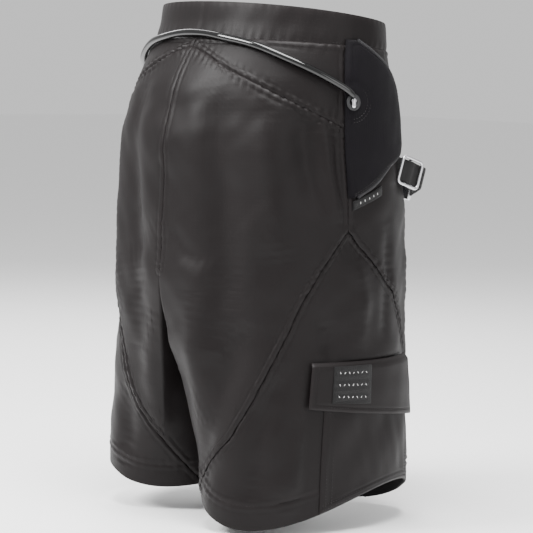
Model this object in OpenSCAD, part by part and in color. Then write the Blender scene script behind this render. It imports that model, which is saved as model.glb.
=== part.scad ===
// Board shorts with a built-in seat harness: panelled cloth shell, side wings,
// leash rail, spreader bar on two side straps, inner pads and a leg pocket.
// +Z is up, -Y is the wearer's front, +X the wearer's left. The origin is the
// centre of the waist opening. Millimetres.

/* [Trunk] */
// Half width of the shell at the waist
waist_half_w = 149; // [145:1:152]
// Half width of the shell at the hips
hip_half_w = 168; // [164:1:171]
// Depth from the section centre to the centre back at the waist
waist_back = 107; // [103:1:110]
// Depth from the section centre to the fullest part of the seat
seat_back = 155; // [151:1:158]
// Depth from the section centre to the centre front at the waist
waist_front = 90; // [87:1:93]
// Height difference of the rim per millimetre of depth, higher at the back
rim_rise = 0.13; // [0.08:0.01:0.16]
// Height of the waistband
band_h = 33; // [30:1:36]
// Depth of the crotch below the waist
crotch_drop = 284; // [280:1:288]

/* [Legs] */
// Mean drop of the right hem below the waist
hem_drop_right = 539; // [530:1:550]
// Mean drop of the left hem below the waist
hem_drop_left = 524; // [518:1:535]
// Half the height of the right hem's drape wave
hem_wave_right = 21; // [0:1:24]
// Half the height of the left hem's drape wave
hem_wave_left = 14; // [0:1:18]
// Half width of a leg at the hem
hem_half_w = 84; // [80:1:84]
// Height of the turned-up hem
hem_h = 25; // [20:1:30]

/* [Cloth] */
// Thickness of the outer cloth with its seam allowances
cloth_t = 2; // [1.6:0.1:2.2]
// Thickness of the inner facings
facing_t = 1.2; // [1:0.1:1.4]

/* [Wings and rail] */
// Greatest thickness of a neoprene wing
wing_t = 6; // [5:0.5:6.5]
// Outer diameter of the leash rail's sleeve
rail_d = 8; // [7:0.5:8.5]
// Diameter of the rope core in the rail
rail_core_d = 4.6; // [4:0.2:5]

/* [Harness] */
// Width of the side straps' webbing
web_w = 25; // [24:1:26]
// Thickness of the webbing
web_t = 2.4; // [2:0.1:2.6]
// Thickness of the slider buckles' bars
buckle_wire = 3.2; // [3:0.1:3.4]
// Length of a slider buckle along the strap
buckle_l = 35; // [33:1:36]
// Diameter of the hook's rod
hook_rod = 10; // [9:0.5:11]

/* [Pads] */
// Thickness of the seat pad
seat_pad_t = 10; // [8:1:12]
// Thickness of the lumbar pad
back_pad_t = 8; // [6:1:9]
// Thickness of the hip pads
hip_pad_t = 7; // [5:1:8]

/* [Hidden] */
$fn = 48;

LEFT = 1;
RIGHT = -1;
// Angle round a leg from its outer side: the corners of the D-shaped top
corner_a = 125;
crotch_z = -crotch_drop;
apex_z = crotch_z + 50;
hem_level = -539;
yoke_side_z = -121;
yoke_back_z = -41;
fly_end_z = -126;
trunk_end_z = crotch_z + 0.05;
wing_off = 1.5;

// Trunk sections: [height, half width, back depth, front depth, centre y]
SECTIONS = [
    [60, waist_half_w - 1, waist_back - 3, waist_front, -13],
    [0, waist_half_w, waist_back, waist_front, -13],
    [-20, waist_half_w + 1, waist_back + 3, waist_front, -12],
    [-45, waist_half_w + 4, waist_back + 19, waist_front + 5, -10],
    [-80, waist_half_w + 10, seat_back - 13, waist_front + 21, -8],
    [-138, hip_half_w - 5, seat_back - 1, waist_front + 34, -5],
    [-200, hip_half_w - 1, seat_back - 5, waist_front + 46, -4],
    [-240, hip_half_w, seat_back - 4, waist_front + 49, -3],
    [-284, hip_half_w + 1, seat_back - 4, waist_front + 50, -1],
    [-600, hip_half_w + 4, seat_back - 8, waist_front + 50, 0]];
// Seams of the side panel: [drop below the apex, angle round the leg]
BACK_SEAM = [[0, 13.5], [40, 28], [76, 40], [112, 48], [176, 64], [214, 76], [252, 96], [305, 120]];
FRONT_SEAM = [[0, 11.5], [16, 4], [34, -7], [56, -20], [72, -32], [98, -44], [166, -62],
    [236, -84], [305, -112]];
// Front edge of a wing: [height, angle]
WING_EDGE = [[-24, 11], [-40, -8], [-52, -25], [-66, -39], [-80, -50], [-102, -57], [-120, -58],
    [-140, -54], [-150, -44], [-162, -22], [-184, -4], [-198, 9]];
wing_top_z = -25;
wing_end_z = -197;
// Right half of the rail's route: [angle, height, distance from the cloth]
RAIL_ROUTE = [[12.5, -88, 9], [19, -79, 8.5], [36, -64, 6.6], [56, -50, 6], [80, -36, 6],
    [103, -28, 6], [118, -24, 6]];

function smooth(t) = let (c = min(max(t, 0), 1)) c * c * (3 - 2 * c);
function mix(a, b, t) = a + (b - a) * t;
function spow(v, p) = sign(v) * pow(abs(v), p);
function column(k) = [for (s = SECTIONS) [s[0], s[k]]];
HALF_W = column(1);
BACK_D = column(2);
FRONT_D = column(3);
MID_Y = column(4);

// Points of the trunk (angle 90 is the centre back, -90 the centre front)
function trunk_xy(a, z) = [lookup(z, HALF_W) * spow(cos(a), 0.92),
    lookup(z, MID_Y) + lookup(z, sin(a) > 0 ? BACK_D : FRONT_D) * spow(sin(a), 0.95)];

// Points of a leg, which turns from a D at the crotch to an ellipse near the hem
function d_xy(a, z) = abs(a) <= corner_a
    ? trunk_xy(a * 90 / corner_a, z)
    : let (q = a > 0 ? a : a + 360, f = (q - corner_a) / (360 - 2 * corner_a))
      [0, mix(trunk_xy(90, z)[1], trunk_xy(-90, z)[1], f)];
function leg_xy(a, z, s) = let (
    w = smooth((crotch_z - z) / 236),
    back = s > 0 ? 130 : 140,
    x = hem_half_w + 2 + hem_half_w * cos(a),
    y = (sin(a) > 0 ? back : 136) * sin(a),
    d = d_xy(a, z),
    clear = 1.5 * smooth((crotch_z - z) / 25))
    [max(mix(d[0], x, w), clear), mix(d[1], y, w)];
function shell_xy(a, z, s) = z > crotch_z + 0.01 ? trunk_xy(a * 90 / corner_a, z) : leg_xy(a, z, s);

// A point at a distance off the shell, measured level and square to it
function shell_pt(a, z, s, off = 0) = let (
    p = shell_xy(a, z, s),
    t = shell_xy(a + 2, z, s) - shell_xy(a - 2, z, s),
    n = [t[1], -t[0]] / max(norm(t), 0.001))
    [s * (p[0] + off * n[0]), p[1] + off * n[1], z];

// Levels follow the rim at the top and the hem at the bottom
function rim_z(a) = rim_rise * (trunk_xy(a * 90 / corner_a, 0)[1] + 14);
function hem_z(a, s) = s > 0
    ? -hem_drop_left - hem_wave_left * cos(2 * (a - 125))
    : -hem_drop_right - hem_wave_right * cos(2 * (a - 60));
function level_z(l, a, s) = l > -60 ? l + rim_z(a) * (1 + l / 60)
    : l > crotch_z ? l
    : crotch_z + (l - crotch_z) * (hem_z(a, s) - crotch_z) / (hem_level - crotch_z);
function level_pt(l, a, s, off = 0) = shell_pt(a, level_z(l, a, s), s, off);

// Seams between the panels
function side_seam(l) = mix(19.5, 12.5, min(-l / 234, 1));
function yoke_level(a) = mix(yoke_back_z, yoke_side_z, pow((corner_a - a) / (corner_a - 16), 1.15));
function twist(l, s) = s > 0 ? 30 * smooth((apex_z - l) / 128) : 0;
function back_seam(l, s) = l > apex_z ? side_seam(l)
    : min(lookup(apex_z - l, BACK_SEAM) + twist(l, s), 150);
function front_seam(l, s) = l > apex_z ? side_seam(l)
    : lookup(apex_z - l, FRONT_SEAM) + 0.6 * twist(l, s);
function front_edge(l) = l > fly_end_z ? -120 : -corner_a;

// Closed sheet between an outer and an inner grid of points, all in rows
module sheet(outer, inner, s = LEFT, wrap = false) {
    rows = len(outer);
    cols = len(outer[0]);
    n = rows * cols;
    last = wrap ? cols - 1 : cols - 2;
    function at(i, j) = i * cols + j % cols;
    faces = concat(
        [for (i = [0:rows - 2], j = [0:last]) [at(i, j), at(i, j + 1), at(i + 1, j + 1), at(i + 1, j)]],
        [for (i = [0:rows - 2], j = [0:last])
            [n + at(i, j), n + at(i + 1, j), n + at(i + 1, j + 1), n + at(i, j + 1)]],
        [for (j = [0:last]) [at(0, j + 1), at(0, j), n + at(0, j), n + at(0, j + 1)]],
        [for (j = [0:last]) let (e = rows - 1) [at(e, j), at(e, j + 1), n + at(e, j + 1), n + at(e, j)]],
        wrap ? [] : [for (i = [0:rows - 2]) [at(i, 0), at(i + 1, 0), n + at(i + 1, 0), n + at(i, 0)]],
        wrap ? [] : [for (i = [0:rows - 2]) let (e = cols - 1)
            [at(i + 1, e), at(i, e), n + at(i, e), n + at(i + 1, e)]]);
    function turned(f) = [for (k = [len(f) - 1:-1:0]) f[k]];
    // split every face into triangles, because the cloth's quads are not flat
    tris = [for (f = faces) each [[f[0], f[1], f[2]], [f[0], f[2], f[3]]]];
    polyhedron([for (row = concat(outer, inner)) each row],
        s > 0 ? tris : [for (f = tris) turned(f)], convexity = 8);
}

// Cloth panel between two seams, for levels that run from top(a) to bottom(a)
function panel_grid(s, off, rows, cols, top, bottom, from, to, top_at, bottom_at) =
    [for (i = [0:rows]) let (v = i / rows, l0 = mix(top_at, bottom_at, v))
        [for (j = [0:cols]) let (a = mix(from(l0), to(l0), j / cols), l = mix(top(a), bottom(a), v))
            level_pt(l, a, s, off)]];
module panel(s, rows, cols, top, bottom, from, to, top_at, bottom_at, out = 0, inside = -cloth_t) {
    sheet(panel_grid(s, out, rows, cols, top, bottom, from, to, top_at, bottom_at),
        panel_grid(s, inside, rows, cols, top, bottom, from, to, top_at, bottom_at), -s);
}

// Patch with its own heights: corners [angle, angle, top, bottom], between two offsets
function patch_grid(s, a0, a1, top, bottom, rows, cols, off) =
    [for (i = [0:rows]) [for (j = [0:cols])
        let (a = mix(a0, a1, j / cols)) shell_pt(a, mix(top(a), bottom(a), i / rows), s,
            off(j / cols, i / rows))]];
module patch(s, a0, a1, top, bottom, rows, cols, out, inside) {
    sheet(patch_grid(s, a0, a1, top, bottom, rows, cols, out),
        patch_grid(s, a0, a1, top, bottom, rows, cols, inside), a1 > a0 ? -s : s);
}

// Ring round the trunk or a leg between two levels
module leg_ring(s, l0, l1, out, inside, cols = 60) {
    function grid(off) = [for (l = [l0, l1]) [for (j = [0:cols - 1])
        level_pt(l, -180 + 360 * j / cols, s, off)]];
    sheet(grid(out), grid(inside), -s, true);
}
module waist_ring(l0, l1, out, inside, cols = 40) {
    function grid(off) = [for (l = [l0, (l0 + l1) / 2, l1]) [for (j = [0:cols])
        let (a = mix(-118, 2 * corner_a + 118, j / cols)) level_pt(l, a, LEFT, off)]];
    sheet(grid(out), grid(inside), RIGHT);
}

module waistband() color("#26262a") waist_ring(0, -band_h, 0.8, -cloth_t);
module waistband_facing() color("#1c1c1f")
    waist_ring(-2, -band_h + 3, -cloth_t - 0.2, -cloth_t - 0.2 - facing_t);

module yoke(s) color("#232326")
    panel(s, 4, 10, function (a) -band_h - 0.2, function (a) yoke_level(a) + 0.2,
        function (l) side_seam(l), function (l) corner_a, -band_h, yoke_side_z);
module yoke_left() yoke(LEFT);
module yoke_right() yoke(RIGHT);

module back_panel(s) color("#202023") {
    panel(s, 8, 10, function (a) yoke_level(a), function (a) trunk_end_z,
        function (l) back_seam(l, s), function (l) corner_a, yoke_side_z, trunk_end_z);
    panel(s, 12, 20, function (a) crotch_z, function (a) hem_level,
        function (l) back_seam(l, s), function (l) 180, crotch_z, hem_level);
}
module back_panel_left() back_panel(LEFT);
module back_panel_right() back_panel(RIGHT);

module front_panel(s) color("#202023") {
    panel(s, 10, 10, function (a) -band_h - 0.2, function (a) trunk_end_z,
        function (l) front_edge(l), function (l) front_seam(l, s), -band_h, trunk_end_z);
    panel(s, 12, 20, function (a) crotch_z, function (a) hem_level,
        function (l) -180, function (l) front_seam(l, s), crotch_z, hem_level);
}
module front_panel_left() front_panel(LEFT);
module front_panel_right() front_panel(RIGHT);

module side_panel(s) color("#242427")
    panel(s, 16, 26, function (a) apex_z - 4, function (a) hem_level,
        function (l) front_seam(l, s), function (l) back_seam(l, s), apex_z - 4, hem_level);
module side_panel_left() side_panel(LEFT);
module side_panel_right() side_panel(RIGHT);

facing_in = cloth_t + 1.3;
module hem_facing_left() color("#1c1c1f")
    leg_ring(LEFT, hem_level + hem_h, hem_level + 0.8, -facing_in, -facing_in - facing_t);
module hem_facing_right() color("#1c1c1f")
    leg_ring(RIGHT, hem_level + hem_h, hem_level + 0.8, -facing_in, -facing_in - facing_t);

// Neoprene wing over the hip, flat on the cloth and thickest in its middle
function wing_edge(z) = lookup(z, WING_EDGE);
module wing(s) {
    rows = 14;
    cols = 8;
    function grid(thick) = [for (i = [0:rows]) let (v = i / rows, z = mix(wing_top_z, wing_end_z, v))
        [for (j = [0:cols]) let (u = j / cols,
            dome = (1 - pow(2 * u - 1, 4)) * (1 - pow(2 * v - 1, 6)))
            shell_pt(mix(side_seam(z), wing_edge(z), u), z, s,
                wing_off + thick * (2.8 + (wing_t - 2.8) * dome))]];
    color("#2b2c33") sheet(grid(1), grid(0), s);
}
module wing_left() wing(LEFT);
module wing_right() wing(RIGHT);

// Solid of round section swept along a line of points that bends gently
function unit(v) = v / max(norm(v), 0.0001);
function along(p, i) = unit(p[min(i + 1, len(p) - 1)] - p[max(i - 1, 0)]);
function ring_at(p, i, r, sides, up) = let (
    t = along(p, i), b = unit(cross(t, up)), c = cross(b, t))
    [for (k = [0:sides - 1]) p[i] + r * (cos(360 * k / sides) * b + sin(360 * k / sides) * c)];
module rod(p, r, sides = 8, up = [0, 0, 1]) {
    n = len(p);
    pts = [for (i = [0:n - 1]) each ring_at(p, i, r, sides, up)];
    polyhedron(pts, concat(
        [for (i = [0:n - 2], k = [0:sides - 1]) let (m = (k + 1) % sides) each [
            [i * sides + k, i * sides + m, (i + 1) * sides + m],
            [i * sides + k, (i + 1) * sides + m, (i + 1) * sides + k]]],
        [for (k = [1:sides - 2]) [0, k + 1, k]],
        [for (k = [1:sides - 2]) [(n - 1) * sides, (n - 1) * sides + k, (n - 1) * sides + k + 1]]),
        convexity = 10);
}
module tube(p, r, bore, sides = 10, up = [0, 0, 1]) {
    n = len(p);
    m = n * sides;
    pts = concat([for (i = [0:n - 1]) each ring_at(p, i, r, sides, up)],
        [for (i = [0:n - 1]) each ring_at(p, i, bore, sides, up)]);
    function q(i, k) = i * sides + k % sides;
    polyhedron(pts, [for (k = [0:sides - 1]) each concat(
        [for (i = [0:n - 2]) each [[q(i, k), q(i, k + 1), q(i + 1, k + 1)],
            [q(i, k), q(i + 1, k + 1), q(i + 1, k)],
            [m + q(i, k), m + q(i + 1, k + 1), m + q(i, k + 1)],
            [m + q(i, k), m + q(i + 1, k), m + q(i + 1, k + 1)]]],
        [[q(0, k + 1), q(0, k), m + q(0, k)], [q(0, k + 1), m + q(0, k), m + q(0, k + 1)],
            [q(n - 1, k), q(n - 1, k + 1), m + q(n - 1, k + 1)],
            [q(n - 1, k), m + q(n - 1, k + 1), m + q(n - 1, k)]])],
        convexity = 10);
}

// Ribbed tape bound over the wing's curved edge
module wing_binding(s) color("#303138")
    rod([for (i = [0:26]) let (z = mix(wing_top_z - 1, wing_end_z + 2, i / 26))
        shell_pt(wing_edge(z) - 2.6, z, s, 3.4)], 2.3, 8, [1, 0, 0]);
module wing_binding_left() wing_binding(LEFT);
module wing_binding_right() wing_binding(RIGHT);

// Eyelet that guides the rail's end into the wing: an outer flange round a bore
eyelet_z = -93;
module eyelet(s) color("#15151a") {
    p = shell_pt(12.5, eyelet_z, s, wing_t + 1.2);
    translate(p) rotate([0, s * 90, 0])
        rotate_extrude() translate([7.2, 0]) circle(r = 2.2, $fn = 24);
}
module eyelet_left() eyelet(LEFT);
module eyelet_right() eyelet(RIGHT);

// Leash rail: a rope core in a smooth sleeve, from one wing round the back to the other
function catmull(a, b, c, d, t) = 0.5 * (2 * b + (c - a) * t + (2 * a - 5 * b + 4 * c - d) * t * t
    + (3 * b - a - 3 * c + d) * t * t * t);
RAIL_RIGHT = [for (r = RAIL_ROUTE) shell_pt(r[0], r[1], RIGHT, r[2])];
RAIL_KEYS = concat(RAIL_RIGHT, [for (k = [len(RAIL_RIGHT) - 1:-1:0])
    [-RAIL_RIGHT[k][0], RAIL_RIGHT[k][1], RAIL_RIGHT[k][2]]]);
RAIL = [for (i = [0:len(RAIL_KEYS) - 2], t = [0, 0.25, 0.5, 0.75])
    catmull(RAIL_KEYS[max(i - 1, 0)], RAIL_KEYS[i], RAIL_KEYS[i + 1],
        RAIL_KEYS[min(i + 2, len(RAIL_KEYS) - 1)], t)];
RAIL_SLEEVE = [for (k = [2:len(RAIL) - 1]) RAIL[k]];
module rail_tube() color("#101012") tube(RAIL_SLEEVE, rail_d / 2, rail_core_d / 2 + 0.3);
module rail_core() color("#d8d8d8") rod(RAIL_SLEEVE, rail_core_d / 2, 8);
module rail_end(s) color("#cfd2d6") {
    p = shell_pt(12.5, eyelet_z, s, wing_t + 1.6);
    translate(p + [0, 0, -7.5]) {
        cylinder(r = 3.4, h = 5);
        translate([0, 0, 5]) sphere(r = 3.4, $fn = 32);
    }
}
module rail_end_left() rail_end(LEFT);
module rail_end_right() rail_end(RIGHT);

// The straps, buckles, bar and hook lie in one tilted plane that swings at the hips
swing_y = -66;
swing_z = -166;
swing_tilt = 17.5;
strap_x = 152;
strap_start = -8;
bend_at = -38;
bend_r = 8;
bend_turn = 53;
bar_end_x = 97;
bar_bow = 18;
bend_end = [strap_x - bend_r + bend_r * cos(bend_turn), bend_at - bend_r * sin(bend_turn)];
strap_end_x = bar_end_x + 3.5;
bar_y = bend_end[1] - (bend_end[0] - strap_end_x) / tan(bend_turn);
bar_t = 4;
bar_h = 34;
bar_r = (bar_end_x * bar_end_x + bar_bow * bar_bow) / (2 * bar_bow);
module harness_plane() translate([0, swing_y, swing_z]) rotate([swing_tilt, 0, 0]) children();

module arc_band(x0, y0, r, a0, a1, t, n = 24)
    polygon(concat(
        [for (i = [0:n]) let (a = mix(a0, a1, i / n)) [x0 + (r + t / 2) * cos(a), y0 + (r + t / 2) * sin(a)]],
        [for (i = [n:-1:0]) let (a = mix(a0, a1, i / n)) [x0 + (r - t / 2) * cos(a), y0 + (r - t / 2) * sin(a)]]));

// Each strap: forward from the wing, then a bend inwards to the bar's eye
STRAP_PATH = concat([[strap_x, strap_start]],
    [for (i = [0:8]) let (a = -bend_turn * i / 8)
        [strap_x - bend_r + bend_r * cos(a), bend_at + bend_r * sin(a)]],
    [[strap_end_x, bar_y]]);
function beside(p, i, off) = let (t = along(p, i)) p[i] + off * [-t[1], t[0]];
module strap(s) color("#222226") harness_plane() mirror([s > 0 ? 0 : 1, 0, 0])
    translate([0, 0, -web_w / 2]) linear_extrude(web_w) polygon(concat(
        [for (i = [0:9]) beside(STRAP_PATH, i, web_t / 2)], [beside(STRAP_PATH, 10, web_t / 2)],
        [beside(STRAP_PATH, 10, -web_t / 2)], [for (i = [9:-1:0]) beside(STRAP_PATH, i, -web_t / 2)]));
module strap_left() strap(LEFT);
module strap_right() strap(RIGHT);

// Three-bar slider: the webbing runs under the end bars and over the middle one
buckle_mid = -17;
buckle_half_h = web_w / 2 + 3;
bar_off = web_t / 2 + buckle_wire / 2 + 0.2;
module bar_block(x, y, z0, z1) {
    w = buckle_wire;
    translate([x - w / 2, y - w / 2, z0]) cube([w, w, z1 - z0]);
}
module buckle(s) color("#b9bcc0") harness_plane() mirror([s > 0 ? 0 : 1, 0, 0]) {
    w = buckle_wire;
    top = buckle_half_h + w / 2;
    out_x = strap_x + bar_off;
    in_x = strap_x - bar_off;
    y0 = buckle_mid - buckle_l / 2;
    for (y = [y0 + w / 2, y0 + buckle_l - w / 2]) bar_block(out_x, y, -top, top);
    bar_block(in_x, buckle_mid, -top, top);
    for (z = [-top, top - w]) {
        translate([out_x - w / 2, y0, z]) cube([w, buckle_l, w]);
        translate([in_x - w / 2, buckle_mid - w / 2, z]) cube([2 * bar_off + w, w, w]);
    }
}
module buckle_left() buckle(LEFT);
module buckle_right() buckle(RIGHT);

// Spreader bar: a bowed plate with a rolled eye for the webbing at each end
module bar_arc(t, offset_r = 0, span = 1) {
    half = asin(bar_end_x / bar_r) * span;
    arc_band(0, bar_y - bar_bow + bar_r, bar_r + offset_r, -90 - half, -90 + half, t, 32);
}
module spreader_bar() color("#b4b7bb") harness_plane() {
    translate([0, 0, -bar_h / 2]) linear_extrude(bar_h) bar_arc(bar_t);
    for (x = [-1, 1]) translate([x * (bar_end_x - 0.5), bar_y, -bar_h / 2])
        cylinder(r = 3.2, h = bar_h);
}
module bar_pad() color("#17171a") harness_plane()
    translate([0, 0, -bar_h / 2 - 5]) linear_extrude(bar_h + 10) bar_arc(6, -bar_t / 2 - 3.3, 0.9);

// Hook of round rod: out from the bar, down and back below it
hook_reach = 26;
hook_turn = 17;
module hook() color("#c2c5c9") harness_plane()
    translate([0, bar_y - bar_bow - bar_t / 2 - 0.1, 6]) {
        rotate([90, 0, 0]) cylinder(r = hook_rod / 2, h = hook_reach);
        rotate([90, 0, 0]) cylinder(r = hook_rod / 2 + 3, h = 3);
        translate([0, -hook_reach, -hook_turn]) {
            difference() {
                rotate([0, 90, 0]) rotate_extrude() translate([hook_turn, 0]) circle(r = hook_rod / 2);
                translate([-30, 0, -40]) cube([60, 60, 80]);
            }
            translate([0, 0, -hook_turn]) rotate([-90, 0, 0]) cylinder(r = hook_rod / 2, h = 4);
            translate([0, 4, -hook_turn]) sphere(r = hook_rod / 2);
        }
    }

// Inner pads, all held behind the cloth
function pillow(t, inset) = function (u, v)
    -inset - t * (1 - pow(2 * u - 1, 6)) * (1 - pow(2 * v - 1, 6)) - 1.2;
module seat_pad() color("#34353c")
    patch(LEFT, 50, 2 * corner_a - 50, function (a) -104, function (a) -252, 8, 20,
        function (u, v) -cloth_t - 1.7, pillow(seat_pad_t - 1.2, cloth_t + 1.7));
module back_pad() color("#34353c")
    patch(LEFT, 60, 2 * corner_a - 60, function (a) -38, function (a) -99, 6, 20,
        function (u, v) -cloth_t - 1.5, pillow(back_pad_t - 1.2, cloth_t + 1.5));
module hip_pad(s) color("#34353c")
    patch(s, 44, -60, function (a) -48, function (a) -196, 8, 12,
        function (u, v) -cloth_t - 1.2, pillow(hip_pad_t - 1.2, cloth_t + 1.2));
module hip_pad_left() hip_pad(LEFT);
module hip_pad_right() hip_pad(RIGHT);

// Leg straps: webbing round each thigh inside the shell, with a slider in front
leg_strap_z = -330;
leg_strap_w = 36;
module leg_strap(s) {
    cols = 48;
    function grid(off) = [for (z = [0, -leg_strap_w]) [for (j = [0:cols - 1])
        let (a = -180 + 360 * j / cols)
        shell_pt(a, leg_strap_z + z, s, off)]];
    color("#29292e") sheet(grid(-cloth_t - 3), grid(-cloth_t - 5.2), -s, true);
}
module leg_strap_left() leg_strap(LEFT);
module leg_strap_right() leg_strap(RIGHT);
module leg_slider(s) color("#141416") {
    p = shell_pt(-70, leg_strap_z - leg_strap_w / 2, s, -cloth_t - 9.7);
    q = shell_pt(-74, leg_strap_z - leg_strap_w / 2, s, -cloth_t - 9.7);
    translate(p) rotate([0, 0, atan2(q[1] - p[1], q[0] - p[0])]) difference() {
        translate([-15, -1.5, -22]) cube([30, 3, 44]);
        for (x = [-11, 2]) translate([x, -3, -18.5]) cube([9, 6, 37]);
    }
}
module leg_slider_left() leg_slider(LEFT);
module leg_slider_right() leg_slider(RIGHT);

// Cargo pocket on the right leg
flap_back_a = 32;
flap_front_a = -48;
flap_top_z = -376;
function flap_bottom_z(a) = mix(-426, -446, (flap_back_a - a) / (flap_back_a - flap_front_a));
module pocket_bag() color("#222225")
    patch(RIGHT, 22, flap_front_a + 3, function (a) flap_top_z - 9,
        function (a) hem_z(a, RIGHT) + 1, 10, 12,
        function (u, v) 0.3 + 3.4 * (1 - pow(2 * u - 1, 6)) * (1 - pow(2 * v - 1, 8)) + 0.8,
        function (u, v) 0.3);
module pocket_flap() color("#242428")
    patch(RIGHT, flap_back_a, flap_front_a, function (a) flap_top_z, function (a) flap_bottom_z(a), 6, 14,
        function (u, v) 8.6, function (u, v) 6.4);
module label_patch() color("#2c2c30")
    patch(RIGHT, 20, -3, function (a) flap_top_z - 4, function (a) flap_top_z - 44 - (20 - a) * 0.15,
        3, 4, function (u, v) 9.6, function (u, v) 8.8);
module pocket_hook_tape() color("#0d0d0e")
    patch(RIGHT, 10, -26, function (a) flap_top_z - 30, function (a) flap_top_z - 48, 2, 5,
        function (u, v) 5.3, function (u, v) 4.6);
module pocket_loop_tape() color("#0d0d0e")
    patch(RIGHT, 10, -26, function (a) flap_top_z - 30, function (a) flap_top_z - 48, 2, 5,
        function (u, v) 6.3, function (u, v) 5.7);

// Folded tag sewn under the point of the right wing
module side_tag() color("#1a1a1d")
    patch(RIGHT, 11, -11, function (a) -201 + (11 - a) * 0.75, function (a) -211 + (11 - a) * 0.75, 2, 4,
        function (u, v) 4.6, function (u, v) 1.2);

// Fly: a flap over the centre front, with hook-and-loop strips and a soft tongue behind
fly_hinge_x = 27;
fly_free_x = 24;
function fly_a(x) = -corner_a - (x > 0 ? 1 : -1) * -1 * asin(min(pow(abs(x) / 150, 1 / 0.92), 1))
    * corner_a / 90;
module fly_patch(x0, x1, top, bottom, out, inside, rows = 5)
    patch(LEFT, fly_a(x0), fly_a(x1), top, bottom, rows, 6, function (u, v) out, function (u, v) inside);
module fly_flap() color("#242428")
    fly_patch(fly_hinge_x - 1.5, -fly_free_x, function (a) rim_z(a), function (a) fly_end_z + 8, 5.6, 3.6,
        rows = 12);
module fly_tongue() color("#2b2c33")
    fly_patch(30, -30, function (a) rim_z(a) - 6, function (a) fly_end_z - 14, -4.6, -7.2);
module fly_hook_tape() color("#0d0d0e")
    fly_patch(-13.5, -22, function (a) -40, function (a) fly_end_z + 16, 1.8, 1.0, rows = 9);
module fly_loop_tape() color("#0d0d0e")
    fly_patch(-13.5, -22, function (a) -40, function (a) fly_end_z + 16, 3.0, 2.1, rows = 9);

waistband();
waistband_facing();
yoke_left();
yoke_right();
back_panel_left();
back_panel_right();
front_panel_left();
front_panel_right();
side_panel_left();
side_panel_right();
hem_facing_left();
hem_facing_right();
wing_left();
wing_right();
wing_binding_left();
wing_binding_right();
eyelet_left();
eyelet_right();
rail_tube();
rail_core();
rail_end_left();
rail_end_right();
strap_left();
strap_right();
buckle_left();
buckle_right();
spreader_bar();
hook();
bar_pad();
seat_pad();
back_pad();
hip_pad_left();
hip_pad_right();
leg_strap_left();
leg_strap_right();
leg_slider_left();
leg_slider_right();
pocket_bag();
pocket_flap();
label_patch();
pocket_hook_tape();
pocket_loop_tape();
side_tag();
fly_flap();
fly_tongue();
fly_hook_tape();
fly_loop_tape();
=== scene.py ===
import math

import bmesh
import bpy
import numpy as np
from mathutils import Matrix, Vector
from mathutils.kdtree import KDTree


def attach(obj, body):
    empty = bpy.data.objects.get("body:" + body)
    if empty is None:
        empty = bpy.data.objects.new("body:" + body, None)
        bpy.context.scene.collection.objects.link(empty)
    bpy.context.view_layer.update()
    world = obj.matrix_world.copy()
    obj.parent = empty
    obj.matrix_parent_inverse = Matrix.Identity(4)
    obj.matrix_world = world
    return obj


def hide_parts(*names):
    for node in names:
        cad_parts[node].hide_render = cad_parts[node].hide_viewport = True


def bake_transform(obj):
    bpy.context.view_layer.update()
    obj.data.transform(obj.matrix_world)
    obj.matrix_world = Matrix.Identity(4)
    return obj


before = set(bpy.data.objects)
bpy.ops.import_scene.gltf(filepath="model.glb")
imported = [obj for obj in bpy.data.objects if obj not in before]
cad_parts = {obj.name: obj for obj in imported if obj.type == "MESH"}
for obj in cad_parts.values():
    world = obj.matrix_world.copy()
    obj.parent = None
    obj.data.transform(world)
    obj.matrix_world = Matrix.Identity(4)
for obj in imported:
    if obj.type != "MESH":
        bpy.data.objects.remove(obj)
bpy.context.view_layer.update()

MM = 0.001
LEFT, RIGHT = 1, -1
SIDE_NAME = {LEFT: "left", RIGHT: "right"}
RNG = np.random.default_rng(7)

# ---------------------------------------------------------------- garment shape, in millimetres
CROTCH_Z = -284.0
APEX_Z = -234.0
HEM_LEVEL = -539.0
CORNER_A = 125.0
BAND_H = 33.0
CLOTH_T = 1.3
# Millimetres of cloth that a radian round the garment counts for in the weave
CUT_RADIUS = 108.0
HEM_HALF_W = 84.0
# [height, half width, back depth, front depth, centre y]
SECTIONS = np.array([
    [-600, 172, 147, 140, 0], [-284, 169, 151, 140, -1], [-240, 168, 151, 139, -3],
    [-200, 167, 150, 136, -4],
    [-138, 163, 154, 124, -5], [-80, 159, 142, 111, -8], [-45, 153, 126, 95, -10],
    [-20, 150, 110, 90, -12], [0, 149, 107, 90, -13], [60, 148, 104, 90, -13]], float)
BACK_SEAM = np.array([[0, 13.5], [40, 28], [76, 40], [112, 48], [176, 64], [214, 76], [252, 96], [305, 120]])
FRONT_SEAM = np.array([[0, 11.5], [16, 4], [34, -7], [56, -20], [72, -32], [98, -44], [166, -62],
                       [236, -84], [305, -112]])
WING_EDGE = np.array([[-198, 9], [-184, -4], [-162, -22], [-150, -44], [-140, -54], [-120, -58], [-102, -57],
                      [-80, -50], [-66, -39], [-52, -25], [-40, -8], [-24, 11]], float)


def smooth(t):
    t = np.clip(t, 0, 1)
    return t * t * (3 - 2 * t)


def mix(a, b, t):
    return a + (b - a) * t


def section(z, k):
    """A section size at height z, eased over the corners of the table."""
    return sum(np.interp(z + dz, SECTIONS[:, 0], SECTIONS[:, k]) for dz in (-12, -6, 0, 6, 12)) / 5


def spow(v, p):
    return np.sign(v) * np.abs(v) ** p


def trunk_xy(a, z):
    r = np.radians(a)
    depth = np.where(np.sin(r) > 0, section(z, 2), section(z, 3))
    return section(z, 1) * spow(np.cos(r), 0.92), section(z, 4) + depth * spow(np.sin(r), 0.95)


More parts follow.
